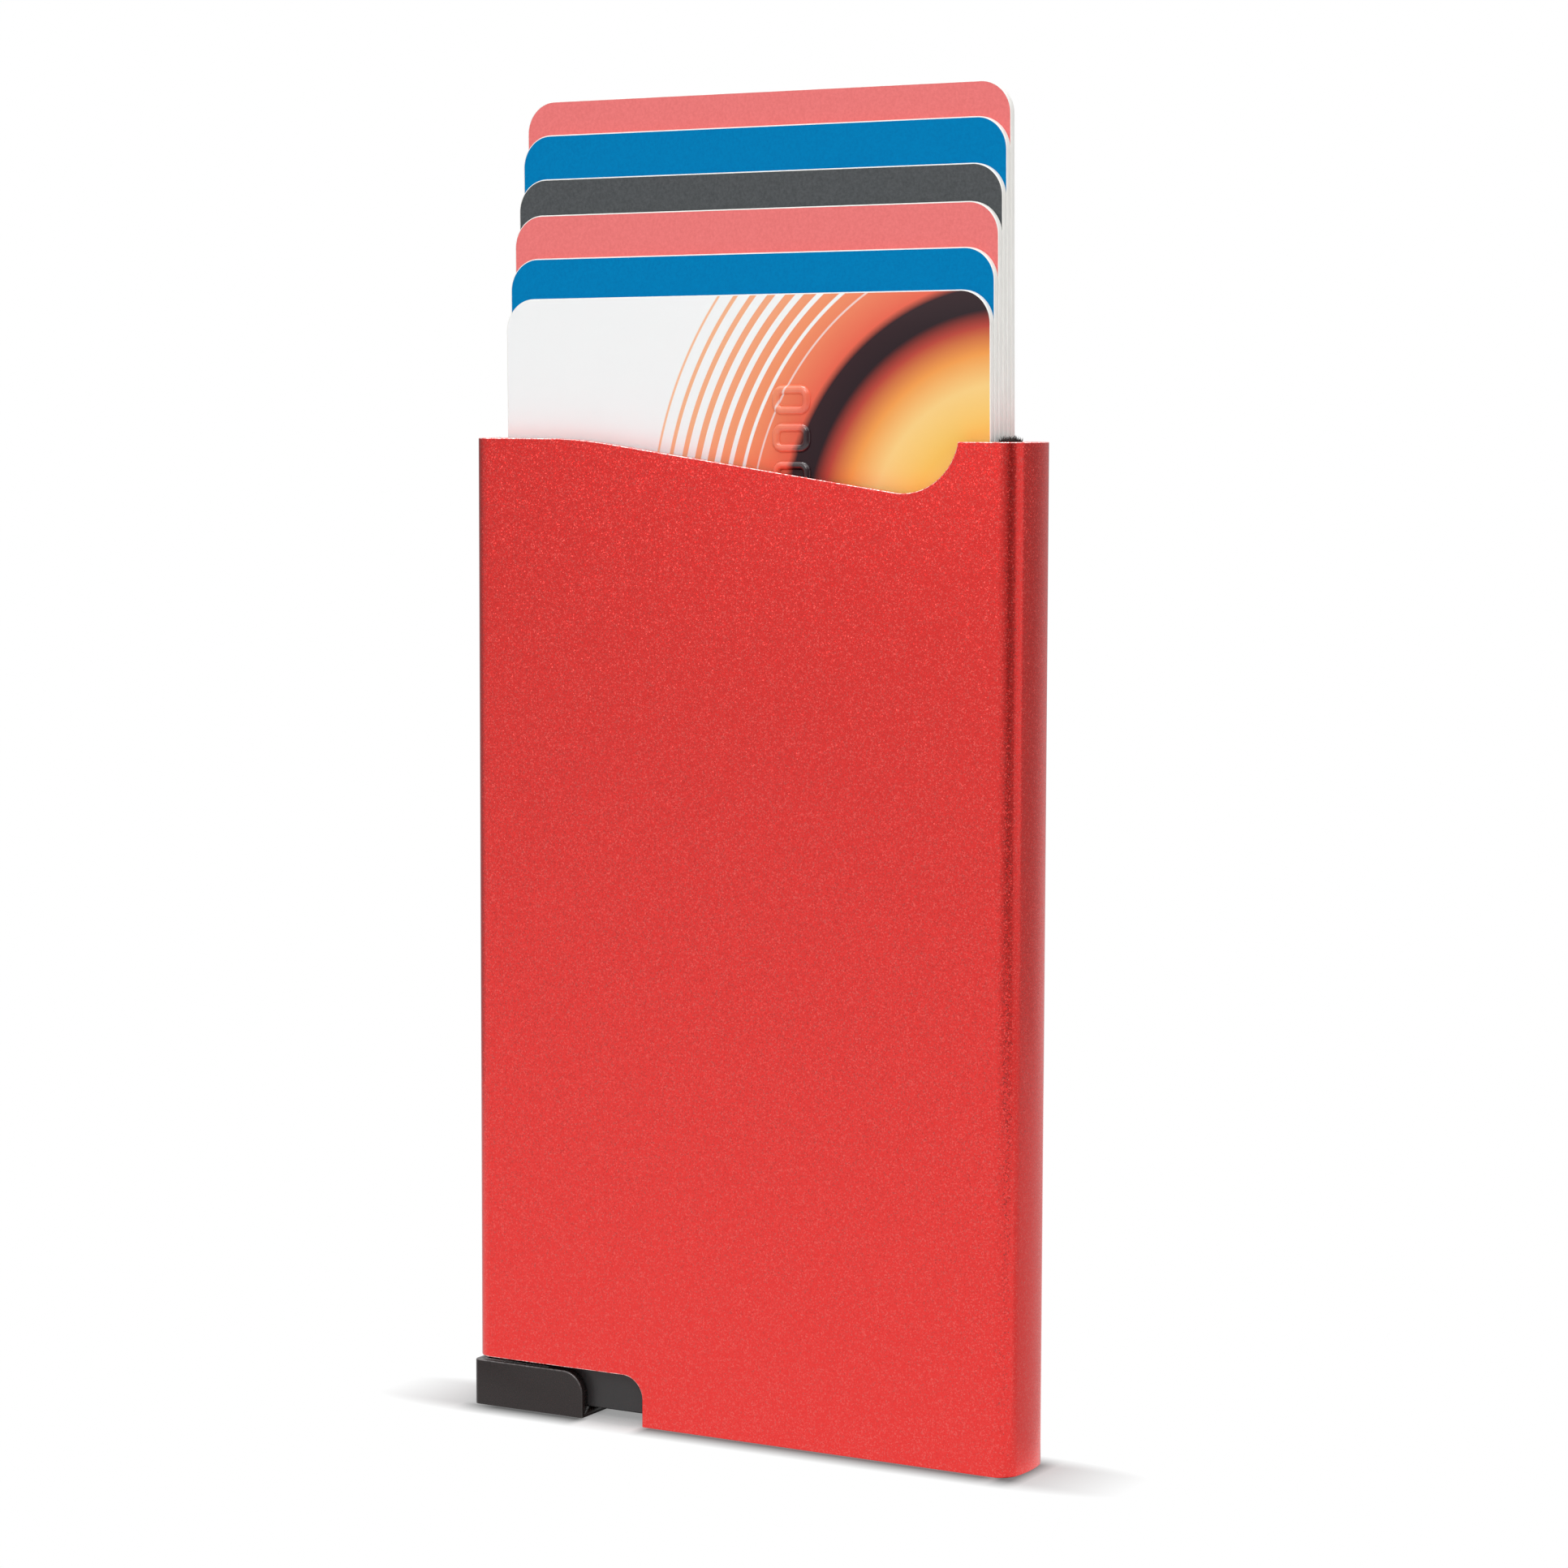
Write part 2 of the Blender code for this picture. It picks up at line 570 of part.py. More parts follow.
def build_card(index, parts):
    """One card at the height where the lever leaves it, leaning to the left."""
    half_width = CARD_WIDTH / 2
    half_height = CARD_HEIGHT / 2
    outline = rounded_box(-half_width, -half_height, half_width, half_height, [CARD_CORNER] * 4)
    middle = STACK_FRONT + index * CARD_PITCH + CARD_THICK / 2
    height = CARD_FLOOR + card_rise(index) + half_height
    place = Matrix.Translation((CARD_SHIFT, middle, height)) @ Matrix.Rotation(-CARD_LEAN, 4, "Y")
    name = f"card_{index + 1}"
    card = extrude(name, [outline], CARD_THICK, place @ UPRIGHT, parts)
    dress(card, finish(name, CARD_COLOURS[index], 0.35, 0.0))


def build():
    clear_scene()
    parts = new_group("card_holder")
    tools = new_group("cutters")
    build_sleeve(parts, tools)
    build_felt("felt_strip_left", -1, -FELT_LEFT_BELOW_RIM, parts)
    build_felt("felt_strip_right", 1, FELT_RIGHT_ABOVE_RIM, parts)
    build_base(parts, tools)
    build_pin(parts)
    build_lever(parts, tools)
    build_trigger(parts, tools)
    build_spring(parts)
    for index in range(CARD_COUNT):
        build_card(index, parts)


build()
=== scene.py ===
"""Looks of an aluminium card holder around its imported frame. Metres, Z up, front face at -Y."""
import math
import random

import bmesh
import bpy
from mathutils import Matrix, Vector


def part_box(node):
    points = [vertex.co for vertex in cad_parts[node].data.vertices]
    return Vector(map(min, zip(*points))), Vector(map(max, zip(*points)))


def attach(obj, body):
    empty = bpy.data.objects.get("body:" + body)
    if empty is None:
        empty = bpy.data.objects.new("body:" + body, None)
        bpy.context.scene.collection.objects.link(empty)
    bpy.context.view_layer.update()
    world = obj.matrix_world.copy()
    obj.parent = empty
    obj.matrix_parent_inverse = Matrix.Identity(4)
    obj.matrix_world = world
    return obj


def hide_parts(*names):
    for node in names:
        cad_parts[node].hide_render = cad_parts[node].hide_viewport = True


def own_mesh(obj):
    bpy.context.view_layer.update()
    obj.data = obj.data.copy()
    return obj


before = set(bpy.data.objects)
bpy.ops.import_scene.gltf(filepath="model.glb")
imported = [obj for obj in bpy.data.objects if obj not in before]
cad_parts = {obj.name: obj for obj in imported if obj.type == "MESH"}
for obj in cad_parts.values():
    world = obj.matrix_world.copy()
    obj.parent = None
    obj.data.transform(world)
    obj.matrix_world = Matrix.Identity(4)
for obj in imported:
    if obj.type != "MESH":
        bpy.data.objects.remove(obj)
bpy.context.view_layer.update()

# Sleeve: a flat aluminium tube with thick narrow sides, sawn to length. The thumb cut and the
# corner cut are milled, all edges are broken, and the bead blasted faces are dyed red in the
# anodising bath. The broken edges above the corner cut are painted paler, partly as bare milled
# metal and partly as a painted highlight, while the lower edges keep the red.
case_low, case_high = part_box("case_sleeve")
rim = case_high.z
half_width = case_high.x
half_depth = case_high.y
face_wall = 0.0010
side_wall = 0.00205
slot_half_width = half_width - side_wall
slot_half_depth = half_depth - face_wall
slot_corner = 0.0005
slot_steps = 6
sleeve_corner = 0.0020
quarter_steps = 20
side_crown = 0.0140
crown_steps = 12
edge_break = 0.00008

thumb_slope = 7.8
thumb_radius = 0.0060
thumb_centre = (0.0183, rim + 0.0011)
thumb_blend = 0.050

cut_length = 0.0202
cut_end = case_low.x + cut_length
cut_height = 0.00505
cut_corner = 0.0023
overcut = 0.001
cut_depth = half_depth + overcut


def arc(centre, radius, start, end, steps=quarter_steps):
    """Points along an arc, both ends included, with angles in degrees."""
    points = []
    for step in range(steps + 1):
        angle = math.radians(start + (end - start) * step / steps)
        points.append((centre[0] + radius * math.cos(angle), centre[1] + radius * math.sin(angle)))
    return points


def rounded_box(left, low, right, high, radii, steps=quarter_steps):
    """Outline of a rectangle, with the radii given from the lower left corner round."""
    corners = (
        (left, low, 1, 1, 180),
        (right, low, -1, 1, 270),
        (right, high, -1, -1, 0),
        (left, high, 1, -1, 90),
    )
    outline = []
    for (x, y, inward_x, inward_y, start), radius in zip(corners, radii):
        if radius:
            centre = (x + inward_x * radius, y + inward_y * radius)
            outline += arc(centre, radius, start, start + 90, steps)
        else:
            outline.append((x, y))
    return outline


def crowned_box(width, depth, corner, crown):
    """Outline from above, to half the width and depth, whose short sides bulge by a large radius."""
    lean = math.asin((depth - corner) / (crown - corner))
    corner_x = width - crown + (crown - corner) * math.cos(lean)
    corner_y = depth - corner
    tilt = math.degrees(lean)
    right = arc((corner_x, -corner_y), corner, 270, 360 - tilt)[:-1]
    right += arc((width - crown, 0), crown, -tilt, tilt, crown_steps)[:-1]
    right += arc((corner_x, corner_y), corner, tilt, 90)
    return right + [(-x, -y) for x, y in right]


def link(name, mesh):
    """Object of a mesh or curve, in the scene."""
    thing = bpy.data.objects.new(name, mesh)
    bpy.context.scene.collection.objects.link(thing)
    return thing


def evaluated_mesh(thing):
    """Mesh of an object as its curve settings or its modifiers make it."""
    bpy.context.view_layer.update()
    return bpy.data.meshes.new_from_object(thing.evaluated_get(bpy.context.evaluated_depsgraph_get()))


same_point = 1e-7
same_plane = math.radians(0.5)


def extrude(name, loops, thickness, place):
    """Closed mesh of a flat outline, half its thickness to each side, moved to its place."""
    curve = bpy.data.curves.new(name, "CURVE")
    curve.dimensions = "2D"
    curve.fill_mode = "BOTH"
    curve.extrude = thickness / 2
    for loop in loops:
        spline = curve.splines.new("POLY")
        spline.points.add(len(loop) - 1)
        for point, (x, y) in zip(spline.points, loop):
            point.co = (x, y, 0.0, 1.0)
        spline.use_cyclic_u = True
    drawn = link(name, curve)
    mesh = evaluated_mesh(drawn)
    bpy.data.objects.remove(drawn)
    form = bmesh.new()
    form.from_mesh(mesh)
    bmesh.ops.remove_doubles(form, verts=form.verts, dist=same_point)
    bmesh.ops.dissolve_limit(form, angle_limit=same_plane, verts=form.verts, edges=form.edges)
    bmesh.ops.recalc_face_normals(form, faces=form.faces)
    form.to_mesh(mesh)
    form.free()
    mesh.transform(place)
    mesh.name = name
    mesh.materials.clear()
    return link(name, mesh)


upright = Matrix.Rotation(math.radians(90), 4, "X")


def standing(name, loop, front, back):
    """Solid of an outline seen from the front, between two depths."""
    return extrude(name, [loop], back - front, Matrix.Translation((0, (front + back) / 2, 0)) @ upright)


def rising(name, loops, low, high):
    """Solid of an outline seen from above, between two heights."""
    return extrude(name, loops, high - low, Matrix.Translation((0, 0, (low + high) / 2)))


def apply_modifiers(piece):
    """Keep what the modifiers make as the piece's own mesh."""
    mesh = evaluated_mesh(piece)
    piece.modifiers.clear()
    piece.data = mesh


def shape(piece, tool, operation):
    """Cut, join or cross a piece with a tool, which is then thrown away."""
    modifier = piece.modifiers.new("shape", "BOOLEAN")
    modifier.operation = operation
    modifier.object = tool
    apply_modifiers(piece)
    bpy.data.objects.remove(tool)


outside = crowned_box(half_width, half_depth, sleeve_corner, side_crown)
slot_radii = [slot_corner] * 4
slot = rounded_box(
    -slot_half_width, -slot_half_depth, slot_half_width, slot_half_depth, slot_radii, slot_steps
)
sleeve = rising("sleeve_body", [outside, slot], case_low.z, rim)
mouth = -math.degrees(math.asin((thumb_centre[1] - rim) / thumb_radius))
hollow = arc(thumb_centre, thumb_radius, mouth, -90 - thumb_slope, 2 * quarter_steps)
slope_top = hollow[-1][0] - (rim - hollow[-1][1]) / math.tan(math.radians(thumb_slope))
blend_x = slope_top - thumb_blend * math.tan(math.radians(thumb_slope) / 2)
blend = arc((blend_x, rim - thumb_blend), thumb_blend, 90 - thumb_slope, 90)
thumb_top = [(blend_x, rim + overcut), (hollow[0][0], rim + overcut)]
shape(sleeve, standing("thumb_cut", hollow + blend + thumb_top, -cut_depth, 0.0), "DIFFERENCE")
corner_cut = rounded_box(case_low.x - overcut, -overcut, cut_end, cut_height, (0, 0, cut_corner, 0))
shape(sleeve, standing("corner_cut", corner_cut, -cut_depth, cut_depth), "DIFFERENCE")


def new_finish(name, colour, roughness, metallic=0.0):
    """A Principled material and the object coordinates that its grain is laid out in."""
    finish = bpy.data.materials.new(name)
    finish.use_nodes = True
    tree = finish.node_tree
    shader = tree.nodes["Principled BSDF"]
    shader.inputs["Base Color"].default_value = (*colour, 1.0)
    shader.inputs["Roughness"].default_value = roughness
    shader.inputs["Metallic"].default_value = metallic
    place = tree.nodes.new("ShaderNodeTexCoord").outputs["Object"]
    return finish, tree, shader, place


def grain(tree, place, spot, detail=2.0, roughness=0.5, stretch=(1, 1, 1)):
    """Noise with spots about as wide as the length given, drawn out along the stretched axes."""
    layout = tree.nodes.new("ShaderNodeMapping")
    layout.inputs["Scale"].default_value = [0.5 / (spot * factor) for factor in stretch]
    tree.links.new(place, layout.inputs["Vector"])
    noise = tree.nodes.new("ShaderNodeTexNoise")
    noise.inputs["Scale"].default_value = 1.0
    noise.inputs["Detail"].default_value = detail
    noise.inputs["Roughness"].default_value = roughness
    tree.links.new(layout.outputs["Vector"], noise.inputs["Vector"])
    return noise.outputs["Fac"]


def spread(tree, value, from_low, from_high, to_low, to_high):
    """The value moved from one range to another, and held inside it."""
    node = tree.nodes.new("ShaderNodeMapRange")
    node.inputs["From Min"].default_value = from_low
    node.inputs["From Max"].default_value = from_high
    node.inputs["To Min"].default_value = to_low
    node.inputs["To Max"].default_value = to_high
    tree.links.new(value, node.inputs["Value"])
    return node.outputs["Result"]


def rise(tree, value, start, end):
    """0 before the start and 1 past the end."""
    return spread(tree, value, start, end, 0.0, 1.0)


def ramp(tree, value, stops):
    """Colours along a value, as (place, colour) stops."""
    node = tree.nodes.new("ShaderNodeValToRGB")
    bar = node.color_ramp
    while len(bar.elements) < len(stops):
        bar.elements.new(0.5)
    for element, (place, colour) in zip(bar.elements, stops):
        element.position = place
        element.color = (*colour, 1.0)
    tree.links.new(value, node.inputs["Fac"])
    return node.outputs["Color"]


def mix(tree, share, first, second):
    """Second colour over the first by a share from 0 to 1; each is a colour or a node's output."""
    node = tree.nodes.new("ShaderNodeMix")
    node.data_type = "RGBA"
    tree.links.new(share, node.inputs["Factor"])
    under, over, mixed = node.inputs[6], node.inputs[7], node.outputs[2]
    for socket, colour in ((under, first), (over, second)):
        if isinstance(colour, tuple):
            socket.default_value = (*colour, 1.0)
        else:
            tree.links.new(colour, socket)
    return mixed


def reckon(tree, operation, first, second=0.0):
    """One step of arithmetic on values or node outputs."""
    node = tree.nodes.new("ShaderNodeMath")
    node.operation = operation
    for socket, value in zip(node.inputs, (first, second)):
        if isinstance(value, float):
            socket.default_value = value
        else:
            tree.links.new(value, socket)
    return node.outputs["Value"]


def reckon_vector(tree, operation, first, second=None):
    """One step of arithmetic on vectors. A length or a distance comes out as a value."""
    node = tree.nodes.new("ShaderNodeVectorMath")
    node.operation = operation
    tree.links.new(first, node.inputs[0])
    if isinstance(second, tuple):
        node.inputs[1].default_value = second
    elif second is not None:
        tree.links.new(second, node.inputs["Scale" if operation == "SCALE" else 1])
    return node.outputs["Value" if operation in ("LENGTH", "DISTANCE") else "Vector"]


def split(tree, vector):
    """The X, Y and Z of a vector."""
    node = tree.nodes.new("ShaderNodeSeparateXYZ")
    tree.links.new(vector, node.inputs["Vector"])
    return node.outputs["X"], node.outputs["Y"], node.outputs["Z"]


def emboss(tree, shader, height, depth):
    """Bump from a height value, where the value 1 stands the depth above the value 0."""
    node = tree.nodes.new("ShaderNodeBump")
    node.inputs["Distance"].default_value = depth
    tree.links.new(height, node.inputs["Height"])
    tree.links.new(node.outputs["Normal"], shader.inputs["Normal"])


grain_low = 0.3
grain_high = 0.7


def colour_grain(tree, shader, value, dark, light):
    """Colour the finish from dark to light along a grain."""
    stops = ((grain_low, dark), (grain_high, light))
    tree.links.new(ramp(tree, value, stops), shader.inputs["Base Color"])


def roughen(tree, shader, value, in_dark, in_light):
    """Roughness of the finish along a grain."""
    rough = spread(tree, value, grain_low, grain_high, in_dark, in_light)
    tree.links.new(rough, shader.inputs["Roughness"])


blast_grain = 0.00012
cloud_size = 0.005
cloud_share = 0.10
pit_size = 0.00011
pit_tilt = 0.30
painted_glint_chance = (0.70, 0.95)
middle_grey = (0.5, 0.5, 0.5)
dark_dye = (0.79, 0.026, 0.022)
red_dye = (0.82, 0.029, 0.0245)
light_dye = (0.84, 0.033, 0.028)
painted_glint_colour = (0.86, 0.088, 0.076)
anodised_red = (0.82, 0.036, 0.033)

anodised, tree, shader, place = new_finish("red_anodised_aluminium", anodised_red, 0.25, metallic=1.0)
blast = grain(tree, place, blast_grain, detail=2.0, roughness=0.6)
cloud = grain(tree, place, cloud_size, detail=3.0)
pits = tree.nodes.new("ShaderNodeTexVoronoi")
pits.inputs["Scale"].default_value = 1 / pit_size
tree.links.new(place, pits.inputs["Vector"])
chance = tree.nodes.new("ShaderNodeTexWhiteNoise")
tree.links.new(pits.outputs["Color"], chance.inputs["Vector"])
dye = reckon(tree, "ADD", blast, reckon(tree, "MULTIPLY", cloud, cloud_share))
dyed = ramp(tree, dye, ((0.40, dark_dye), (0.56, red_dye), (0.70, light_dye)))
# A share of the pits is painted paler and pinker, as painted glints beside the real glints of the tilted
# facets.
painted_glint_pits = rise(tree, chance.outputs["Value"], *painted_glint_chance)
tree.links.new(mix(tree, painted_glint_pits, dyed, painted_glint_colour), shader.inputs["Base Color"])
roughen(tree, shader, blast, 0.28, 0.22)
shader.inputs["Specular Tint"].default_value = (1.0, 0.60, 0.58, 1.0)
steepness = reckon(tree, "MULTIPLY", chance.outputs["Value"], pit_tilt)
leaning = reckon_vector(tree, "SUBTRACT", pits.outputs["Color"], middle_grey)
tilt = reckon_vector(tree, "SCALE", leaning, steepness)
face_normal = tree.nodes.new("ShaderNodeNewGeometry").outputs["Normal"]
facet = reckon_vector(tree, "NORMALIZE", reckon_vector(tree, "ADD", face_normal, tilt))
tree.links.new(facet, shader.inputs["Normal"])
shader.inputs["Coat Weight"].default_value = 1.0
shader.inputs["Coat Roughness"].default_value = 0.16
shader.inputs["Coat IOR"].default_value = 1.36

streak_grain = 0.00016
streak_depth = 0.000006
edge_dye = (0.78, 0.030, 0.028)
pale_streaks = ((0.40, (0.84, 0.15, 0.14)), (0.60, (1.0, 0.74, 0.71)))

pale_highlit_edge, tree, shader, place = new_finish("milled_edge_and_painted_highlight", (0.93, 0.55, 0.53), 0.35, metallic=1.0)
streak = grain(tree, place, streak_grain, detail=3.0, roughness=0.6)
above = split(tree, place)[2]
# The edges above the corner cut are painted pale, partly bare milled metal and partly a painted
# highlight; the lower edges stay red.
highlit_share_above_cut = rise(tree, above, cut_height / 2, cut_height)
edge_colour = mix(tree, highlit_share_above_cut, edge_dye, ramp(tree, streak, pale_streaks))
tree.links.new(edge_colour, shader.inputs["Base Color"])
emboss(tree, shader, streak, streak_depth)


def wear_finish(piece, *finishes):
    """Give the piece its finishes, in the order of the material numbers on its faces."""
    slots = piece.data.materials
    while len(slots) > len(finishes):
        slots.pop()
    for number, finish in enumerate(finishes):
        if number < len(slots):
            slots[number] = finish
        else:
            slots.append(finish)


def break_edges(piece, width, material, segments=3, sharper_than=35):
    """Round every edge that is sharper than the angle and keep the flat faces flat."""
    rounding = piece.modifiers.new("edge_break", "BEVEL")
    rounding.width = width
    rounding.segments = segments
    rounding.use_clamp_overlap = False
    rounding.limit_method = "ANGLE"
    rounding.angle_limit = math.radians(sharper_than)
    rounding.material = material
    rounding.miter_outer = "MITER_ARC"
    shading = piece.modifiers.new("flat_faces", "WEIGHTED_NORMAL")
    shading.keep_sharp = True
    shading.weight = 100
    piece.data.shade_smooth()


wear_finish(sleeve, anodised, pale_highlit_edge)
break_edges(sleeve, edge_break, material=1)
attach(sleeve, "case")
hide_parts("case_sleeve")

# Felt strips: black needle felt, cut to length and glued to the narrow sides of the slot. The
# right one ends at the rim and the left one below it. The cut end is a brush of loose fibres,
# which stand up where the cards have rubbed past them.
felt_above_rim = {"left": -0.0006, "right": -0.00010}
felt_round = 0.0003
felt_steps = 5
felt_grain = 0.00009
felt_nap = 0.00008
rubbed_front = -0.0031
rubbed_back = 0.0009
fibre_count = 700
fibre_length = 0.00100
fibre_radius = 0.000030
fibre_root = 0.00005
fibre_sides = 4
fibre_bend = 0.25
fibre_taper = 0.8
fibre_share = (0.4, 1.0)
fibre_thickness = (0.6, 1.2)
lean_across = 0.35
lean_forward = -0.12
lean_along = 0.45
margin_low = (0.00008, 0.00005)
margin_high = (0.00004, 0.0001)
tip_margin = 0.00001
clump_width = 0.00030
clump_share = (0.62, 1.0)
unrubbed_share = 0.2

felt, tree, shader, place = new_finish("black_felt", (0.014, 0.013, 0.013), 0.95)
lint = grain(tree, place, felt_grain, detail=4.0, roughness=0.7)
lint_colours = ((0.35, (0.005, 0.004, 0.004)), (0.72, (0.060, 0.044, 0.034)))
tree.links.new(ramp(tree, lint, lint_colours), shader.inputs["Base Color"])
shader.inputs["Sheen Weight"].default_value = 0.08
shader.inputs["Sheen Roughness"].default_value = 0.5
emboss(tree, shader, lint, felt_nap)


def grow_fibre(form, root, tip, radius):
    """A bent fibre that thins from its root to its tip."""
    bend = (root + tip) / 2 + Vector((tip.y - root.y, root.x - tip.x, 0)) * fibre_bend
    rings = []
    for centre, size in ((root, radius), (bend, radius * fibre_taper)):
        ring = []
        for side in range(fibre_sides):
            angle = 2 * math.pi * side / fibre_sides
            ring.append(form.verts.new(centre + Vector((math.cos(angle), math.sin(angle), 0)) * size))
        rings.append(ring)
    point = form.verts.new(tip)
    for side in range(fibre_sides):
        following = (side + 1) % fibre_sides
        form.faces.new((rings[0][side], rings[0][following], rings[1][following], rings[1][side]))
        form.faces.new((rings[1][side], rings[1][following], point))
    form.faces.new(reversed(rings[0]))


for hand in ("left", "right"):
    node = f"felt_strip_{hand}"
    low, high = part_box(node)
    top = rim + felt_above_rim[hand]
    strip_outline = rounded_box(low.x, low.y, high.x, high.y, [felt_round] * 4, felt_steps)
    strip = rising(f"felt_{hand}", [strip_outline], low.z, top)
    dice = random.Random(f"felt {hand}")
    clump_count = 1 + int((high.y - low.y) / clump_width)
    clumps = [dice.uniform(*clump_share) for _ in range(clump_count)]
    form = bmesh.new()
    form.from_mesh(strip.data)
    for number in range(fibre_count):
        x = dice.uniform(low.x + margin_low[0], high.x - margin_high[0])
        y = dice.uniform(low.y + margin_low[1], high.y - margin_high[1])
        root = Vector((x, y, top - fibre_root))
        lean = Vector((dice.gauss(0, lean_across), dice.gauss(lean_forward, lean_along), 1)).normalized()
        rubbed_share = 1.0 if rubbed_front < y < rubbed_back else unrubbed_share
        grown = clumps[int((y - low.y) / clump_width)] * rubbed_share
        tip = root + lean * fibre_length * grown * dice.uniform(*fibre_share)
        tip.x = min(max(tip.x, low.x + tip_margin), high.x)
        grow_fibre(form, root, tip, fibre_radius * dice.uniform(*fibre_thickness))
    form.to_mesh(strip.data)
    form.free()
    wear_finish(strip, felt)
    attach(strip, "case")
    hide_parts(node)

# Base: a trough moulded in dark grey plastic and pressed into the bottom of the sleeve. Its
# eroded mould leaves a fine matt grain, and it closes the bottom and carries the lever.
erosion_grain = 0.00009
erosion_depth = 0.000008
flow_size = 0.006

moulded, tree, shader, place = new_finish("grey_moulded_plastic", (0.028, 0.027, 0.027), 0.4)
erosion = grain(tree, place, erosion_grain, detail=3.0, roughness=0.6)
flow = grain(tree, place, flow_size, stretch=(3, 1, 1))
colour_grain(tree, shader, flow, (0.025, 0.024, 0.0245), (0.031, 0.0295, 0.030))
roughen(tree, shader, erosion, 0.32, 0.44)
shader.inputs["Specular IOR Level"].default_value = 0.42
emboss(tree, shader, erosion, erosion_depth)
wear_finish(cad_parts["base_frame"], moulded)

# Pivot pin: ground steel with broken ends, pushed through the base's ears and the lever's hub.
# Grinding leaves fine marks round it.
grinding_mark = 0.00004
grinding_depth = 0.000003

ground_steel, tree, shader, place = new_finish("ground_steel", (0.55, 0.55, 0.56), 0.28, metallic=1.0)
grinding = grain(tree, place, grinding_mark, detail=3.0, roughness=0.6, stretch=(1, 12, 1))
colour_grain(tree, shader, grinding, (0.45, 0.45, 0.46), (0.62, 0.62, 0.63))
roughen(tree, shader, grinding, 0.22, 0.36)
emboss(tree, shader, grinding, grinding_depth)
wear_finish(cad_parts["pivot_pin"], ground_steel)

# Lever: moulded in one with its crank, stub and the staircase under the cards, in a stiff
# black plastic that the card edges polish.
rub_mark = 0.0004
rub_depth = 0.000005

slick, tree, shader, place = new_finish("black_slick_plastic", (0.02, 0.02, 0.022), 0.38)
rub = grain(tree, place, rub_mark, detail=4.0, roughness=0.6, stretch=(6, 1, 1))
colour_grain(tree, shader, rub, (0.016, 0.016, 0.018), (0.027, 0.027, 0.030))
roughen(tree, shader, rub, 0.32, 0.46)
emboss(tree, shader, rub, rub_depth)
wear_finish(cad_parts["ejector_lever"], slick)

# Trigger: the black moulded slider in the corner cut, a channel that straddles the base. Its
# edges are soft, and the upper ones are painted lighter, partly as finger wear and partly as a
# painted highlight. The fork on its floor takes the lever's stub, and a nub on the fork centres
# the return spring.
trigger_low, trigger_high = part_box("trigger_slider")
trigger_depth = trigger_high.y + overcut
trigger_wall = 0.00095
trigger_floor = 0.00063
trigger_end_round = 0.0006
trigger_top_round = 0.0003
trigger_soft_edge = 0.00012
trigger_sole = trigger_low.z - 0.00009
trigger_steps = 8
foot_fillet = 0.0008
fork_middle = trigger_low.x + 0.00965
fork_half_slot = 0.00095
prong_width = 0.0009
prong_front = -0.000875
prong_back = 0.001025
prong_round = 0.0003
prong_steps = 5
hook_low = 0.0020
hook_high = 0.0026
hook_back = 0.0018
joint_overlap = 0.0003
nub_radius = 0.0006
nub_length = 0.0015
nub_place = (0.000425, 0.0032)
nub_sides = 24
sharp_corners = (0, 0, 0, 0)


def lying(name, loop, left, right):
    """Solid of an outline seen along the width, between two places across it."""
    turned = Matrix(((0, 0, 1, (left + right) / 2), (1, 0, 0, 0), (0, 1, 0, 0), (0, 0, 0, 1)))
    return extrude(name, [loop], right - left, turned)


plan = rounded_box(
    trigger_low.x, trigger_low.y, trigger_high.x + overcut, trigger_high.y,
    (trigger_end_round, 0, 0, trigger_end_round), trigger_steps,
)
trigger = rising("trigger_body", [plan], trigger_low.z - trigger_floor, trigger_high.z + overcut)
view = rounded_box(
    trigger_low.x - overcut, trigger_low.z - 2 * overcut, trigger_high.x, trigger_high.z,
    (0, 0, cut_corner, trigger_top_round),
)
shape(trigger, standing("trigger_view", view, -trigger_depth, trigger_depth), "INTERSECT")

spark_grain = 0.00010
spark_depth = 0.000008
trigger_black = (0.0155, 0.0095, 0.0085)

satin_black, tree, shader, place = new_finish("black_satin_plastic", trigger_black, 0.30)
spark = grain(tree, place, spark_grain, detail=3.0, roughness=0.6)
colour_grain(tree, shader, spark, (0.0130, 0.0075, 0.0070), (0.0180, 0.0110, 0.0105))
roughen(tree, shader, spark, 0.24, 0.34)
shader.inputs["Specular IOR Level"].default_value = 0.40
emboss(tree, shader, spark, spark_depth)

edge_grain_size = 0.00018
edge_grain_depth = 0.000004
highlight_low = 0.0024
highlight_high = 0.0040
highlight_greys = ((0.35, (0.050, 0.046, 0.046)), (0.65, (0.150, 0.140, 0.140)))

# The upper edges are painted lighter grey towards the top, partly as finger wear and partly as a painted
# highlight; the lower ones stay black.
worn_and_highlit_edge, tree, shader, place = new_finish("black_edge_worn_and_painted_highlight", (0.06, 0.055, 0.055), 0.26)
edge_grain = grain(tree, place, edge_grain_size, detail=3.0, roughness=0.6)
above = split(tree, place)[2]
highlit_share = rise(tree, above, highlight_low, highlight_high)
highlit_edge_colour = mix(tree, highlit_share, trigger_black, ramp(tree, edge_grain, highlight_greys))
tree.links.new(highlit_edge_colour, shader.inputs["Base Color"])
emboss(tree, shader, edge_grain, edge_grain_depth)

wear_finish(trigger, satin_black, worn_and_highlit_edge)
break_edges(trigger, trigger_soft_edge, material=1)
apply_modifiers(trigger)
sole = rounded_box(-half_width - overcut, -trigger_depth, 0.0, trigger_depth, sharp_corners)
shape(trigger, rising("sole", [sole], trigger_low.z - 2 * overcut, trigger_sole), "DIFFERENCE")
inside = trigger_high.y - trigger_wall
floor_top = trigger_low.z + trigger_floor
channel_radii = (foot_fillet, foot_fillet, 0, 0)
channel = rounded_box(-inside, floor_top, inside, trigger_high.z + overcut, channel_radii, trigger_steps)
shape(trigger, lying("channel", channel, trigger_low.x + trigger_wall, 0.0), "DIFFERENCE")

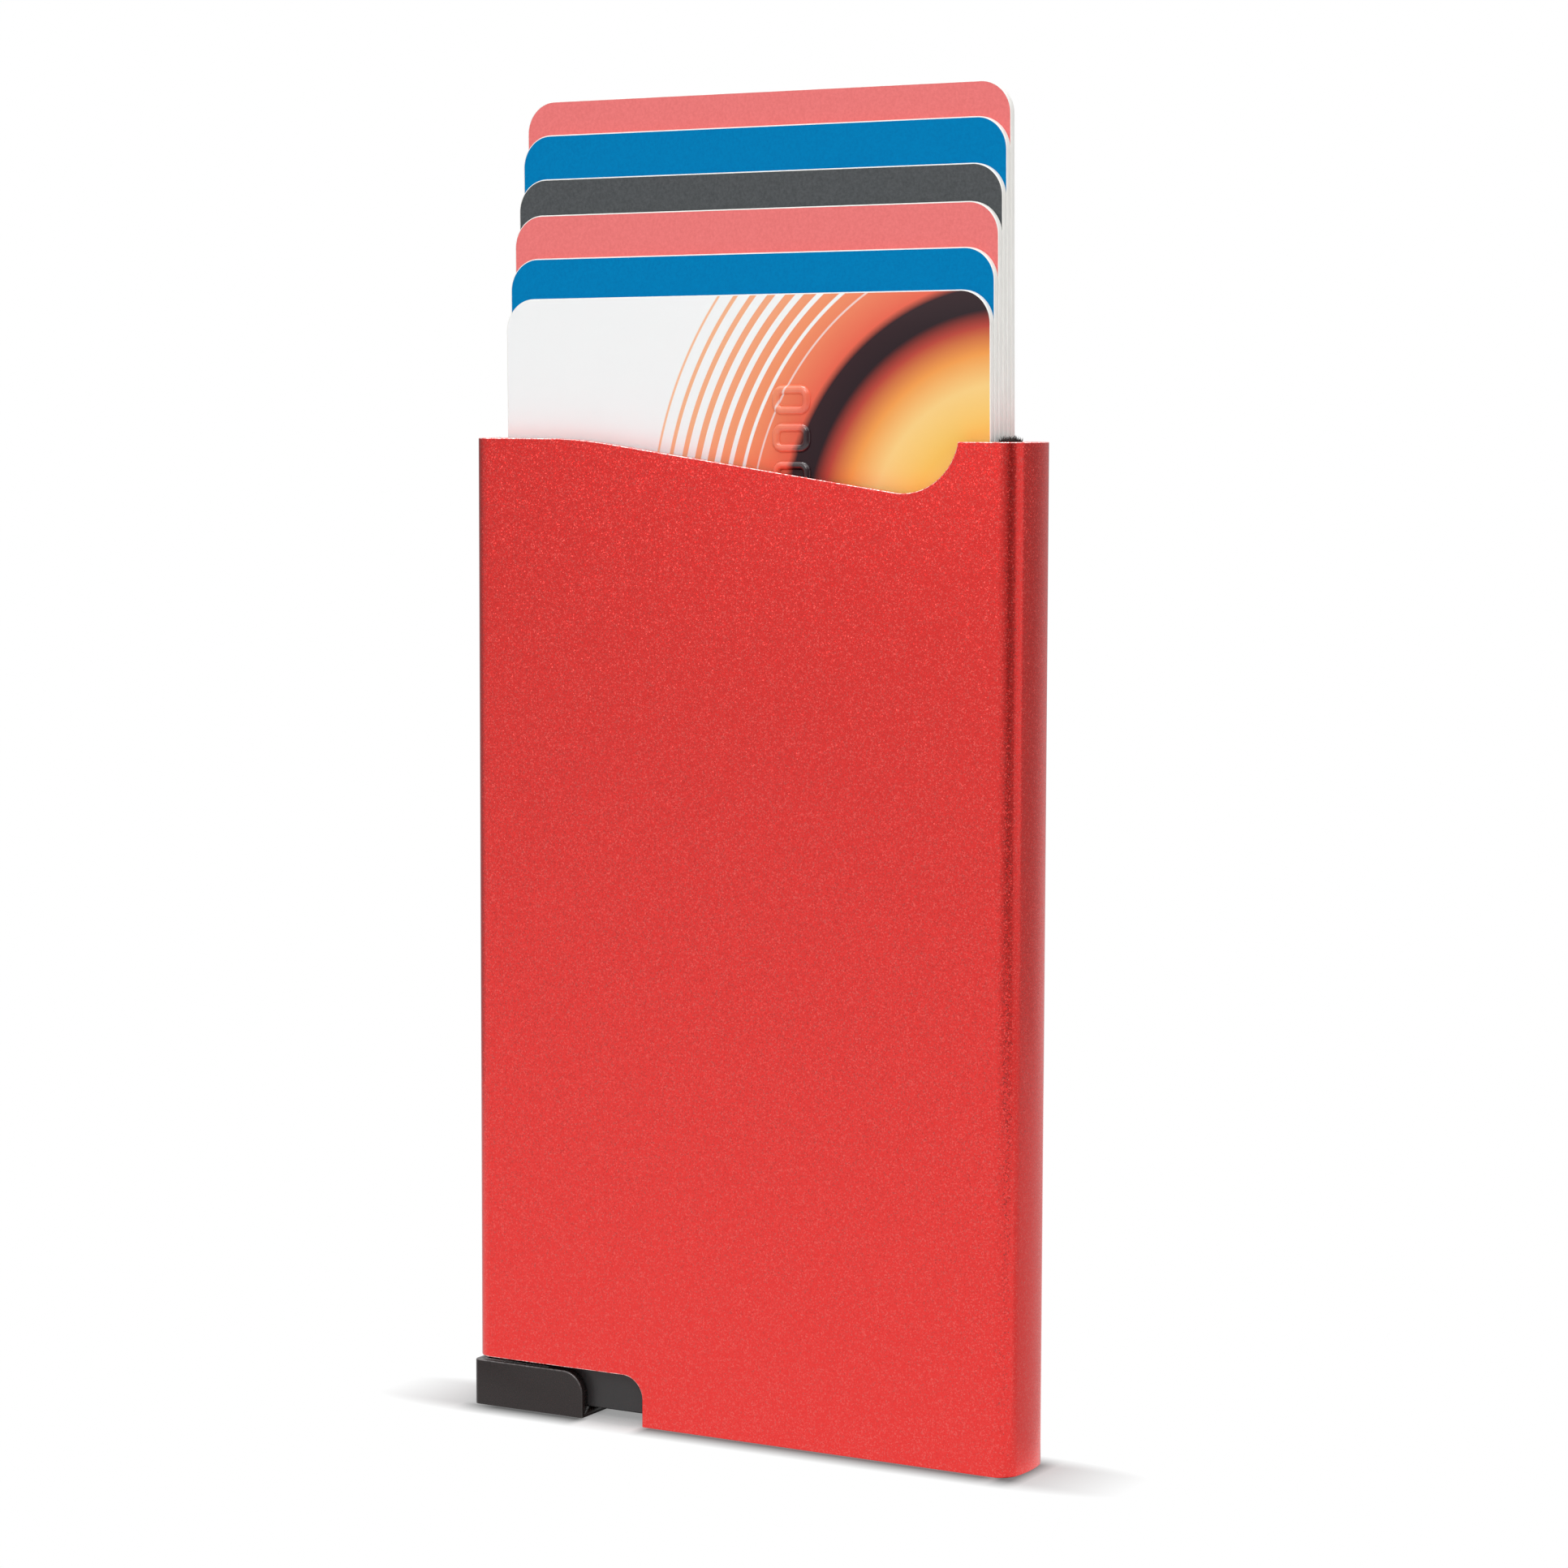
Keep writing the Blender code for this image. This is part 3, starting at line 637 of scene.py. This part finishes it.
prong_radii = (0, 0, prong_round, prong_round)
for prong_left in (fork_middle - fork_half_slot - prong_width, fork_middle + fork_half_slot):
    prong_right = prong_left + prong_width
    prong_foot = floor_top - joint_overlap
    prong = rounded_box(prong_left, prong_foot, prong_right, trigger_high.z, prong_radii, prong_steps)
    shape(trigger, standing("prong", prong, prong_front, prong_back), "UNION")
    hook = rounded_box(prong_left, hook_low, prong_right, hook_high, sharp_corners)
    shape(trigger, standing("hook", hook, prong_back - joint_overlap, hook_back), "UNION")
nub_left = fork_middle + fork_half_slot + prong_width / 2
nub_right = fork_middle + fork_half_slot + prong_width + nub_length
nub = arc(nub_place, nub_radius, 0, 360 - 360 / nub_sides, nub_sides - 1)
shape(trigger, lying("nub", nub, nub_left, nub_right), "UNION")

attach(trigger, "trigger")
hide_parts("trigger_slider")

# Return spring: drawn steel wire wound into nine open turns, between the fork and the base's
# stop rib. The trigger squeezes it against the rib.
spring_low, spring_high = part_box("return_spring")
spring_turns = 9
spring_points = 28
spring_length = spring_high.x - spring_low.x
wire = 0.0003
wire_steps = 3
spring_radius = (spring_high.y - spring_low.y - wire) / 2
spring_middle = (spring_low + spring_high) / 2

coil = bpy.data.curves.new("return_coil", "CURVE")
coil.dimensions = "3D"
coil.bevel_depth = wire / 2
coil.bevel_resolution = wire_steps
coil.use_fill_caps = True
spline = coil.splines.new("POLY")
turn_count = spring_turns * spring_points
spline.points.add(turn_count)
for index, point in enumerate(spline.points):
    angle = 2 * math.pi * index / spring_points
    x = spring_low.x + wire / 2 + (spring_length - wire) * index / turn_count
    y = spring_middle.y + spring_radius * math.cos(angle)
    z = spring_middle.z + spring_radius * math.sin(angle)
    point.co = (x, y, z, 1.0)
wound = link("return_coil_curve", coil)
coil_mesh = evaluated_mesh(wound)
bpy.data.objects.remove(wound)
coil_mesh.shade_smooth()
spring = link("return_coil", coil_mesh)
wear_finish(spring, ground_steel)
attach(spring, "case")
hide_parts("return_spring")
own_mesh(spring)

# Cards: white plastic sheet with a printed and laminated face on each side, punched out at the
# standard bank card size. The punch leaves a fine round along the edge where the white shows.
card_width = 0.05398
card_height = 0.08560
card_thick = 0.00076
card_corner = 0.00318
card_corner_steps = 16
card_edge = 0.00011
card_edge_steps = 4
card_lean = math.radians(0.55)
lamination = 0.00010
seam_depth = 0.000012


def join_rings(form, rings, finish_number=0):
    """Smooth bands of faces from each closed ring of points to the next."""
    for ring, following in zip(rings, rings[1:]):
        for first in range(len(ring)):
            second = (first + 1) % len(ring)
            face = form.faces.new((ring[first], ring[second], following[second], following[first]))
            face.material_index = finish_number
            face.smooth = True


def card_mesh(name):
    """Card outline swept round its edge profile, with a printed face at the front and back."""
    front = -card_thick / 2
    back = card_thick / 2
    profile = arc((card_edge, front + card_edge), card_edge, 270, 180, card_edge_steps)
    for seam in (front + card_edge + lamination, back - card_edge - lamination):
        profile += [(0, seam - seam_depth), (seam_depth, seam), (0, seam + seam_depth)]
    profile += arc((card_edge, back - card_edge), card_edge, 180, 90, card_edge_steps)
    form = bmesh.new()
    rings = []
    for inset, depth in profile:
        across = card_width / 2 - inset
        along = card_height / 2 - inset
        radii = [card_corner - inset] * 4
        outline = rounded_box(-across, -along, across, along, radii, card_corner_steps)
        rings.append([form.verts.new((x, depth, z)) for x, z in outline])
    join_rings(form, rings, 1)
    for ring, finish_number in ((rings[0], 0), (rings[-1], 2)):
        face = form.faces.new(ring)
        face.material_index = finish_number
        for edge in face.edges:
            edge.smooth = False
    bmesh.ops.recalc_face_normals(form, faces=form.faces)
    mesh = bpy.data.meshes.new(name)
    form.to_mesh(mesh)
    form.free()
    return mesh


core_layer = 0.0004
core_depth = 0.00001

core, tree, shader, place = new_finish("white_card_core", (0.83, 0.82, 0.79), 0.5)
layers = grain(tree, place, core_layer, detail=3.0, roughness=0.6, stretch=(1, 0.2, 6))
colour_grain(tree, shader, layers, (0.80, 0.79, 0.75), (0.92, 0.91, 0.88))
emboss(tree, shader, layers, core_depth)

screen_grain = 0.00014
screen_depth = 0.000003


def card_ink(name, shade, ground):
    """Matt printed sheet, with the fine screen that one ink leaves."""
    ink, tree, shader, place = new_finish(name, ground, 0.42)
    screen = grain(tree, place, screen_grain, detail=3.0, roughness=0.7)
    colour_grain(tree, shader, screen, shade, ground)
    roughen(tree, shader, screen, 0.38, 0.48)
    shader.inputs["Specular IOR Level"].default_value = 0.03
    emboss(tree, shader, screen, screen_depth)
    return ink


blue_ink = card_ink("blue_card_print", (0.000, 0.188, 0.455), (0.000, 0.228, 0.515))
red_ink = card_ink("red_card_print", (0.82, 0.185, 0.180), (0.90, 0.225, 0.220))
grey_ink = card_ink("grey_card_print", (0.072, 0.078, 0.082), (0.105, 0.112, 0.117))


def place_card(name, number, front_ink, back_ink):
    """Card number n of the fan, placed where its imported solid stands."""
    low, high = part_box(f"card_{number}")
    middle = (low + high) / 2
    card = link(name, card_mesh(name))
    card.matrix_world = Matrix.Translation(middle) @ Matrix.Rotation(-card_lean, 4, "Y")
    wear_finish(card, front_ink, core, back_ink)
    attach(card, f"card_{number}")
    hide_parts(f"card_{number}")
    return card


second_card = 2
for number, (colour, ink) in enumerate(
    (("blue", blue_ink), ("red", red_ink), ("grey", grey_ink), ("blue", blue_ink), ("red", red_ink)),
    second_card,
):
    plain_card = place_card(f"{colour}_card_{number}", number, ink, ink)

# Front card: a bank card printed with plain rings in warm colours, which thin out towards a bare
# white end, under a thin gloss. A row of raised figures, all noughts, is pressed through it, and
# its back has the usual magnetic stripe.
ring_centre = (0.0290, -card_thick / 2, 0.0190)
ring_pitch = 0.00150
ring_solid = 0.0270
ring_last = 0.0420
ring_fill = (1.15, -1.30)
print_reach = 0.050
print_depth = 0.000002
print_edge = 0.12
bare_white = (0.93, 0.945, 0.945)

print_ink, tree, shader, place = new_finish("front_card_print", (0.9, 0.8, 0.7), 0.3)
from_centre = reckon_vector(tree, "DISTANCE", place, ring_centre)
bands = ramp(tree, rise(tree, from_centre, 0.0, print_reach), (
    (0.10, (1.00, 0.74, 0.22)),
    (0.22, (0.98, 0.60, 0.12)),
    (0.30, (0.98, 0.66, 0.24)),
    (0.36, (0.93, 0.36, 0.08)),
    (0.41, (0.50, 0.06, 0.04)),
    (0.44, (0.020, 0.008, 0.012)),
    (0.485, (0.030, 0.010, 0.014)),
    (0.50, (0.85, 0.14, 0.08)),
    (0.60, (0.92, 0.30, 0.14)),
    (0.80, (0.96, 0.52, 0.30)),
))
waves = reckon(tree, "SINE", reckon(tree, "MULTIPLY", from_centre, 2 * math.pi / ring_pitch))
share = reckon(tree, "ADD", waves, spread(tree, from_centre, ring_solid, ring_last, *ring_fill))
inked = rise(tree, share, -print_edge, print_edge)
tree.links.new(mix(tree, inked, bare_white, bands), shader.inputs["Base Color"])
shader.inputs["Specular IOR Level"].default_value = 0.15
shader.inputs["Coat Weight"].default_value = 0.15
shader.inputs["Coat Roughness"].default_value = 0.08
emboss(tree, shader, grain(tree, place, screen_grain, detail=3.0, roughness=0.7), print_depth)

stripe_inner = 0.0100
stripe_outer = 0.0227
stripe_black = (0.018, 0.016, 0.016)
paper_grain = 0.0002
paper_whites = ((0.3, (0.80, 0.81, 0.81)), (0.7, (0.88, 0.89, 0.89)))

stripe_ink, tree, shader, place = new_finish("striped_card_back", (0.85, 0.86, 0.86), 0.35)
along = split(tree, place)[0]
inner = reckon(tree, "GREATER_THAN", along, stripe_inner)
outer = reckon(tree, "LESS_THAN", along, stripe_outer)
stripe = reckon(tree, "MULTIPLY", inner, outer)
coated = grain(tree, place, paper_grain, detail=3.0)
paper = ramp(tree, coated, paper_whites)
tree.links.new(mix(tree, stripe, paper, stripe_black), shader.inputs["Base Color"])
emboss(tree, shader, coated, screen_depth)
front_card = place_card("printed_card_1", 1, print_ink, stripe_ink)

figure_from_edge = 0.02142
figure_from_top = 0.01018
figure_pitch = 0.00363
figure_half_width = 0.00215
figure_half_height = 0.00145
figure_corner = 0.0007
figure_corner_steps = 8
figure_stroke = 0.00046
figure_stroke_steps = 8
figure_height = 0.00036
figure_fullness = 0.7
figure_root = 0.00005
figure_count = 16
figure_group = 4

stroke = [(-figure_stroke, -figure_root), (-figure_stroke, 0.0)]
for step in range(1, figure_stroke_steps):
    offset = -figure_stroke + 2 * figure_stroke * step / figure_stroke_steps
    lift = figure_height * math.sin(math.pi * step / figure_stroke_steps) ** figure_fullness
    stroke.append((offset, lift))
stroke += [(figure_stroke, 0.0), (figure_stroke, -figure_root)]
form = bmesh.new()
figure_x = card_width / 2 - figure_from_edge
for number in range(figure_count):
    spaces = number // figure_group
    figure_z = card_height / 2 - figure_from_top - figure_pitch * (number + spaces)
    rings = []
    for offset, lift in stroke:
        wide = figure_half_width - figure_stroke + offset
        tall = figure_half_height - figure_stroke + offset
        nought = rounded_box(
            figure_x - wide, figure_z - tall, figure_x + wide, figure_z + tall,
            [figure_corner + offset] * 4, figure_corner_steps,
        )
        rings.append([form.verts.new((x, -card_thick / 2 - lift, z)) for x, z in nought])
    join_rings(form, rings + rings[:1])
bmesh.ops.recalc_face_normals(form, faces=form.faces)
figure_mesh = bpy.data.meshes.new("raised_figures")
form.to_mesh(figure_mesh)
form.free()
figures = link("raised_figures", figure_mesh)
figures.matrix_world = front_card.matrix_world
film = print_ink.copy()
film.name = "raised_figure_film"
gloss = film.node_tree.nodes["Principled BSDF"]
gloss.inputs["Coat Weight"].default_value = 1.0
gloss.inputs["Coat Roughness"].default_value = 0.06
wear_finish(figures, film)
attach(figures, "card_1")

# Table and studio: a white table top that fades into the white background, with a soft contact
# shadow round the foot that is partly cast by the lamps and partly painted: a darker colour and a
# painted glow laid out by place. Three soft boxes, a small bare lamp, and a grey flag at the right
# of the camera that draws the dark line down the sleeve's round corner.
table_half_size = 0.22
table_white = (0.84, 0.835, 0.835, 1.0)
open_shade = (0.31, 0.305, 0.305)
contact_shade = (0.10, 0.10, 0.10)
trigger_shade = (0.03, 0.03, 0.03)
shade_lift = 0.23
cut_lift = 0.08
side_light = 0.70
beneath_light = 0.05

shadow_reach = 0.0112
shadow_forward = 0.0010
shadow_foot = (half_width - sleeve_corner, half_depth - shadow_forward, 0.0)
shadow_stretch = (0.84, 3.15, 0.0)
front_fade = (-half_depth - 0.0004, -half_depth + 0.0006)
end_fade = (half_width - 0.0030, half_width + 0.0010)
right_start = (half_width - 0.0030, half_width - 0.0010)
right_fade = (half_width, half_width + 0.0015)
right_back_share = 0.55
cut_shadow_middle = cut_end - 0.0033
cut_shadow_end = (0.0030, 0.0042)
trigger_fade = (trigger_high.x, trigger_high.x + 0.001)
side_fade = (half_width, half_width + 0.004)
back_fade = (-0.010, 0.010)
beneath_front = (-half_depth, -half_depth + 0.0008)
beneath_back = (half_depth, half_depth + 0.007)
beneath_end = (half_width - 0.001, half_width)


def fall(tree, value, start, end):
    """1 before the start and 0 past the end."""
    return spread(tree, value, start, end, 1.0, 0.0)


def mix_shaders(tree, share, first, second):
    """Second shader instead of the first by a share from 0 to 1."""
    node = tree.nodes.new("ShaderNodeMixShader")
    tree.links.new(share, node.inputs["Fac"])
    tree.links.new(first.outputs[0], node.inputs[1])
    tree.links.new(second.outputs[0], node.inputs[2])
    return node


def flat_mesh(name, half_size):
    """One square face."""
    form = bmesh.new()
    bmesh.ops.create_grid(form, x_segments=1, y_segments=1, size=half_size)
    mesh = bpy.data.meshes.new(name)
    form.to_mesh(mesh)
    form.free()
    return mesh


table = link("table_top", flat_mesh("table_top", table_half_size))
white_table = bpy.data.materials.new("white_table")
white_table.use_nodes = True
tree = white_table.node_tree
tree.nodes.clear()
seen = tree.nodes.new("ShaderNodeLightPath")
floor = tree.nodes.new("ShaderNodeTexCoord").outputs["Object"]
floor_x, floor_y = split(tree, floor)[:2]
from_middle = reckon(tree, "ABSOLUTE", floor_x)

# How far the floor lies from the foot of the sleeve, until its painted and cast shade has faded to
# white.
centred = reckon_vector(tree, "ABSOLUTE", reckon_vector(tree, "ADD", floor, (0.0, shadow_forward, 0.0)))
past_foot = reckon_vector(tree, "SUBTRACT", centred, shadow_foot)
past_foot = reckon_vector(tree, "MAXIMUM", past_foot, (0.0, 0.0, 0.0))
gap = reckon_vector(tree, "LENGTH", reckon_vector(tree, "MULTIPLY", past_foot, shadow_stretch))
far = rise(tree, gap, 0.0, shadow_reach)

# The darkest painted shade: along the front edge except at the open end of the cut, and at the right
# end.
in_front = fall(tree, floor_y, *front_fade)
in_front = reckon(tree, "MULTIPLY", in_front, fall(tree, from_middle, *end_fade))
from_cut = reckon(tree, "ABSOLUTE", reckon(tree, "SUBTRACT", floor_x, cut_shadow_middle))
beside_cut = rise(tree, from_cut, *cut_shadow_end)
at_right = fall(tree, floor_x, *right_fade)
at_right = reckon(tree, "MULTIPLY", at_right, rise(tree, floor_x, *right_start))
to_the_back = spread(tree, floor_y, 0.0, half_depth, 1.0, right_back_share)
at_right = reckon(tree, "MULTIPLY", at_right, to_the_back)
contact_shade_share = reckon(tree, "MAXIMUM", reckon(tree, "MULTIPLY", in_front, beside_cut), at_right)
under_trigger = reckon(tree, "MULTIPLY", contact_shade_share, fall(tree, floor_x, *trigger_fade))

# Painted shade: the floor's colour by the foot is darker, darkest along the front edge and at the right
# end, and nearly black under the trigger; a painted glow lifts the open shade, and the floor in the open
# end of the cut a little more.
shade = mix(tree, contact_shade_share, open_shade, contact_shade)
shaded = tree.nodes.new("ShaderNodeBsdfDiffuse")
tree.links.new(mix(tree, under_trigger, shade, trigger_shade), shaded.inputs["Color"])
painted_glow = tree.nodes.new("ShaderNodeEmission")
open_glow = spread(tree, contact_shade_share, 0.0, 1.0, shade_lift, 0.0)
cut_glow = spread(tree, beside_cut, 0.0, 1.0, cut_lift, 0.0)
tree.links.new(reckon(tree, "ADD", open_glow, cut_glow), painted_glow.inputs["Strength"])
lifted = tree.nodes.new("ShaderNodeAddShader")
tree.links.new(shaded.outputs["BSDF"], lifted.inputs[0])
tree.links.new(painted_glow.outputs["Emission"], lifted.inputs[1])

# The floor as the object mirrors it, with painted shade in the reflection: dimmer beside and behind the
# narrow sides, dark beneath.
beyond = rise(tree, from_middle, *side_fade)
beyond = reckon(tree, "MULTIPLY", beyond, rise(tree, floor_y, *back_fade))
beneath = rise(tree, floor_y, *beneath_front)
beneath = reckon(tree, "MULTIPLY", beneath, fall(tree, floor_y, *beneath_back))
beneath = reckon(tree, "MULTIPLY", beneath, fall(tree, from_middle, *beneath_end))
dimmed = spread(tree, beyond, 0.0, 1.0, 1.0, side_light)
dimmed = reckon(tree, "MULTIPLY", dimmed, spread(tree, beneath, 0.0, 1.0, 1.0, beneath_light))
white = tree.nodes.new("ShaderNodeEmission")
tree.links.new(reckon(tree, "MAXIMUM", dimmed, seen.outputs["Is Camera Ray"]), white.inputs["Strength"])
faded = mix_shaders(tree, reckon(tree, "MAXIMUM", far, seen.outputs["Is Glossy Ray"]), lifted, white)
lit = tree.nodes.new("ShaderNodeBsdfDiffuse")
lit.inputs["Color"].default_value = table_white
in_view = reckon(tree, "MAXIMUM", seen.outputs["Is Camera Ray"], seen.outputs["Is Glossy Ray"])
shown = mix_shaders(tree, in_view, lit, faded)
underside = tree.nodes.new("ShaderNodeNewGeometry").outputs["Backfacing"]
from_below = reckon(tree, "MULTIPLY", underside, seen.outputs["Is Camera Ray"])
clear = tree.nodes.new("ShaderNodeBsdfTransparent")
surface = mix_shaders(tree, from_below, shown, clear)
output = tree.nodes.new("ShaderNodeOutputMaterial")
tree.links.new(surface.outputs["Shader"], output.inputs["Surface"])
wear_finish(table, white_table)

studio_centre = Vector((0.0, 0.0, 0.06))


def direction(azimuth, elevation):
    """Unit vector towards a place in the studio, with azimuth 0 in front and 90 at the right."""
    turn = math.radians(azimuth)
    climb = math.radians(elevation)
    return Vector((math.sin(turn) * math.cos(climb), -math.cos(turn) * math.cos(climb), math.sin(climb)))


def soft_box(name, azimuth, elevation, distance, width, height, power):
    """Lamp with an even rectangular face, turned to the middle of the studio."""
    lamp = bpy.data.lights.new(name, "AREA")
    lamp.shape = "RECTANGLE"
    lamp.size = width
    lamp.size_y = height
    lamp.energy = power
    box = link(name, lamp)
    towards = direction(azimuth, elevation)
    box.location = studio_centre + towards * distance
    box.rotation_euler = towards.to_track_quat("Z", "Y").to_euler()
    box.visible_camera = False
    return box


soft_box("front_box", azimuth=22, elevation=38, distance=1.3, width=0.9, height=0.6, power=6.0)
soft_box("top_box", azimuth=0, elevation=84, distance=1.1, width=0.5, height=0.4, power=4.8)
soft_box("right_box", azimuth=94, elevation=5, distance=1.1, width=0.95, height=0.5, power=0.86)
bare_lamp = soft_box(
    "bare_lamp", azimuth=-24, elevation=17, distance=0.36, width=0.10, height=0.10, power=0.050
)
bare_lamp.visible_diffuse = False

flag_azimuth = 38
flag_half_size = 0.5
flag_scale = (0.20, 0.55, 1.0)
flag_height = 0.31
flag_distance = 0.50
flag_towards = direction(flag_azimuth, 0)
flag = link("studio_flag", flat_mesh("studio_flag", flag_half_size))
flag.scale = flag_scale
flag.location = Vector((half_width, 0, flag_height)) + flag_towards * flag_distance
flag.rotation_euler = flag_towards.to_track_quat("Z", "Y").to_euler()
wear_finish(flag, new_finish("grey_studio_board", (0.20, 0.20, 0.20), 0.9)[0])
flag.visible_camera = False
flag.visible_diffuse = False
flag.visible_shadow = False

ambient_strength = 0.55
left_to_right = (-0.1, 0.6)
glow_across = (0.95, 0.43)
below_horizon = (-0.12, 0.0)
glow_by_height = (1.03, 0.56)
corner_slant = 1.5
corner_height = 12.0
corner_fade = (0.8, 1.5)
dark_corner = 0.42
side_turn = (0.2, 0.5)
side_front = (0.0, 0.5)
side_brighter = 1.35
side_back = (0.6, 0.85)
side_darker = 0.70
backlight_rise = (0.03, 0.14)
backlight_turn = (0.3, 0.6)
backlight_strength = 1.3
overhead_rise = (0.40, 0.75)
overhead_strength = 2.4


def background(tree, strength=1.0):
    """White backdrop of one strength."""
    node = tree.nodes.new("ShaderNodeBackground")
    node.inputs["Color"].default_value = (1, 1, 1, 1)
    node.inputs["Strength"].default_value = strength
    return node


world = bpy.data.worlds.new("studio")
bpy.context.scene.world = world
world.use_nodes = True
tree = world.node_tree
tree.nodes.clear()
seen = tree.nodes.new("ShaderNodeLightPath")
right, behind, above = split(tree, tree.nodes.new("ShaderNodeTexCoord").outputs["Generated"])

# The walls that the object mirrors: paler at the left and below the horizon, with a dark corner
# behind at the left, and a right side that brightens and then darkens towards the back.
glow_right = spread(tree, right, *left_to_right, *glow_across)
strength = reckon(tree, "MULTIPLY", glow_right, spread(tree, above, *below_horizon, *glow_by_height))
behind_left = reckon(tree, "SUBTRACT", behind, reckon(tree, "MULTIPLY", right, corner_slant))
risen = reckon(tree, "MULTIPLY", reckon(tree, "MAXIMUM", above, 0.0), corner_height)
behind_left = reckon(tree, "SUBTRACT", behind_left, risen)
strength = reckon(tree, "MULTIPLY", strength, spread(tree, behind_left, *corner_fade, 1.0, dark_corner))
brighter = spread(tree, behind, *side_front, 1.0, side_brighter)
side_glow = reckon(tree, "MULTIPLY", brighter, spread(tree, behind, *side_back, 1.0, side_darker))
side_change = reckon(tree, "SUBTRACT", side_glow, 1.0)
side_change = reckon(tree, "MULTIPLY", side_change, rise(tree, right, *side_turn))
strength = reckon(tree, "MULTIPLY", strength, reckon(tree, "ADD", side_change, 1.0))
backlight = spread(tree, above, *backlight_rise, 0.0, backlight_strength)
backlight = reckon(tree, "MULTIPLY", backlight, rise(tree, behind, *backlight_turn))
overhead = spread(tree, above, *overhead_rise, 0.0, overhead_strength)
strength = reckon(tree, "MAXIMUM", strength, reckon(tree, "MAXIMUM", backlight, overhead))

mirrored = background(tree)
tree.links.new(strength, mirrored.inputs["Strength"])
ambient = background(tree, ambient_strength)
lighting = mix_shaders(tree, seen.outputs["Is Glossy Ray"], ambient, mirrored)
plain = reckon(tree, "MAXIMUM", seen.outputs["Is Camera Ray"], seen.outputs["Is Transmission Ray"])
surroundings = mix_shaders(tree, plain, lighting, background(tree))
output = tree.nodes.new("ShaderNodeOutputWorld")
tree.links.new(surroundings.outputs["Shader"], output.inputs["Surface"])

# Camera: right of the front face and a little above, as in the photograph, whose picture is
# square. The lens and the place come from fitting a camera to the cards and the sleeve.
camera_turn = math.radians(29.40)
camera_drop = math.radians(5.26)
camera_roll = math.radians(0.157)
camera_place = Vector((0.20279, -0.35404, 0.10234))
sensor_width_mm = 36.0
lens_mm = 95.8
nearest_seen = 0.01

lens = bpy.data.cameras.new("photo_camera")
lens.sensor_width = sensor_width_mm
lens.lens = lens_mm
lens.clip_start = nearest_seen
camera = link("photo_camera", lens)
look = Vector((
    -math.sin(camera_turn) * math.cos(camera_drop),
    math.cos(camera_turn) * math.cos(camera_drop),
    -math.sin(camera_drop),
))
level = Vector((math.cos(camera_turn), math.sin(camera_turn), 0))
square_up = level.cross(look)
camera_right = math.cos(camera_roll) * level + math.sin(camera_roll) * square_up
camera_up = -math.sin(camera_roll) * level + math.cos(camera_roll) * square_up
facing = Matrix((camera_right, camera_up, -look)).transposed().to_4x4()
camera.matrix_world = Matrix.Translation(camera_place) @ facing
bpy.context.scene.camera = camera
bpy.context.scene.view_settings.view_transform = "Standard"
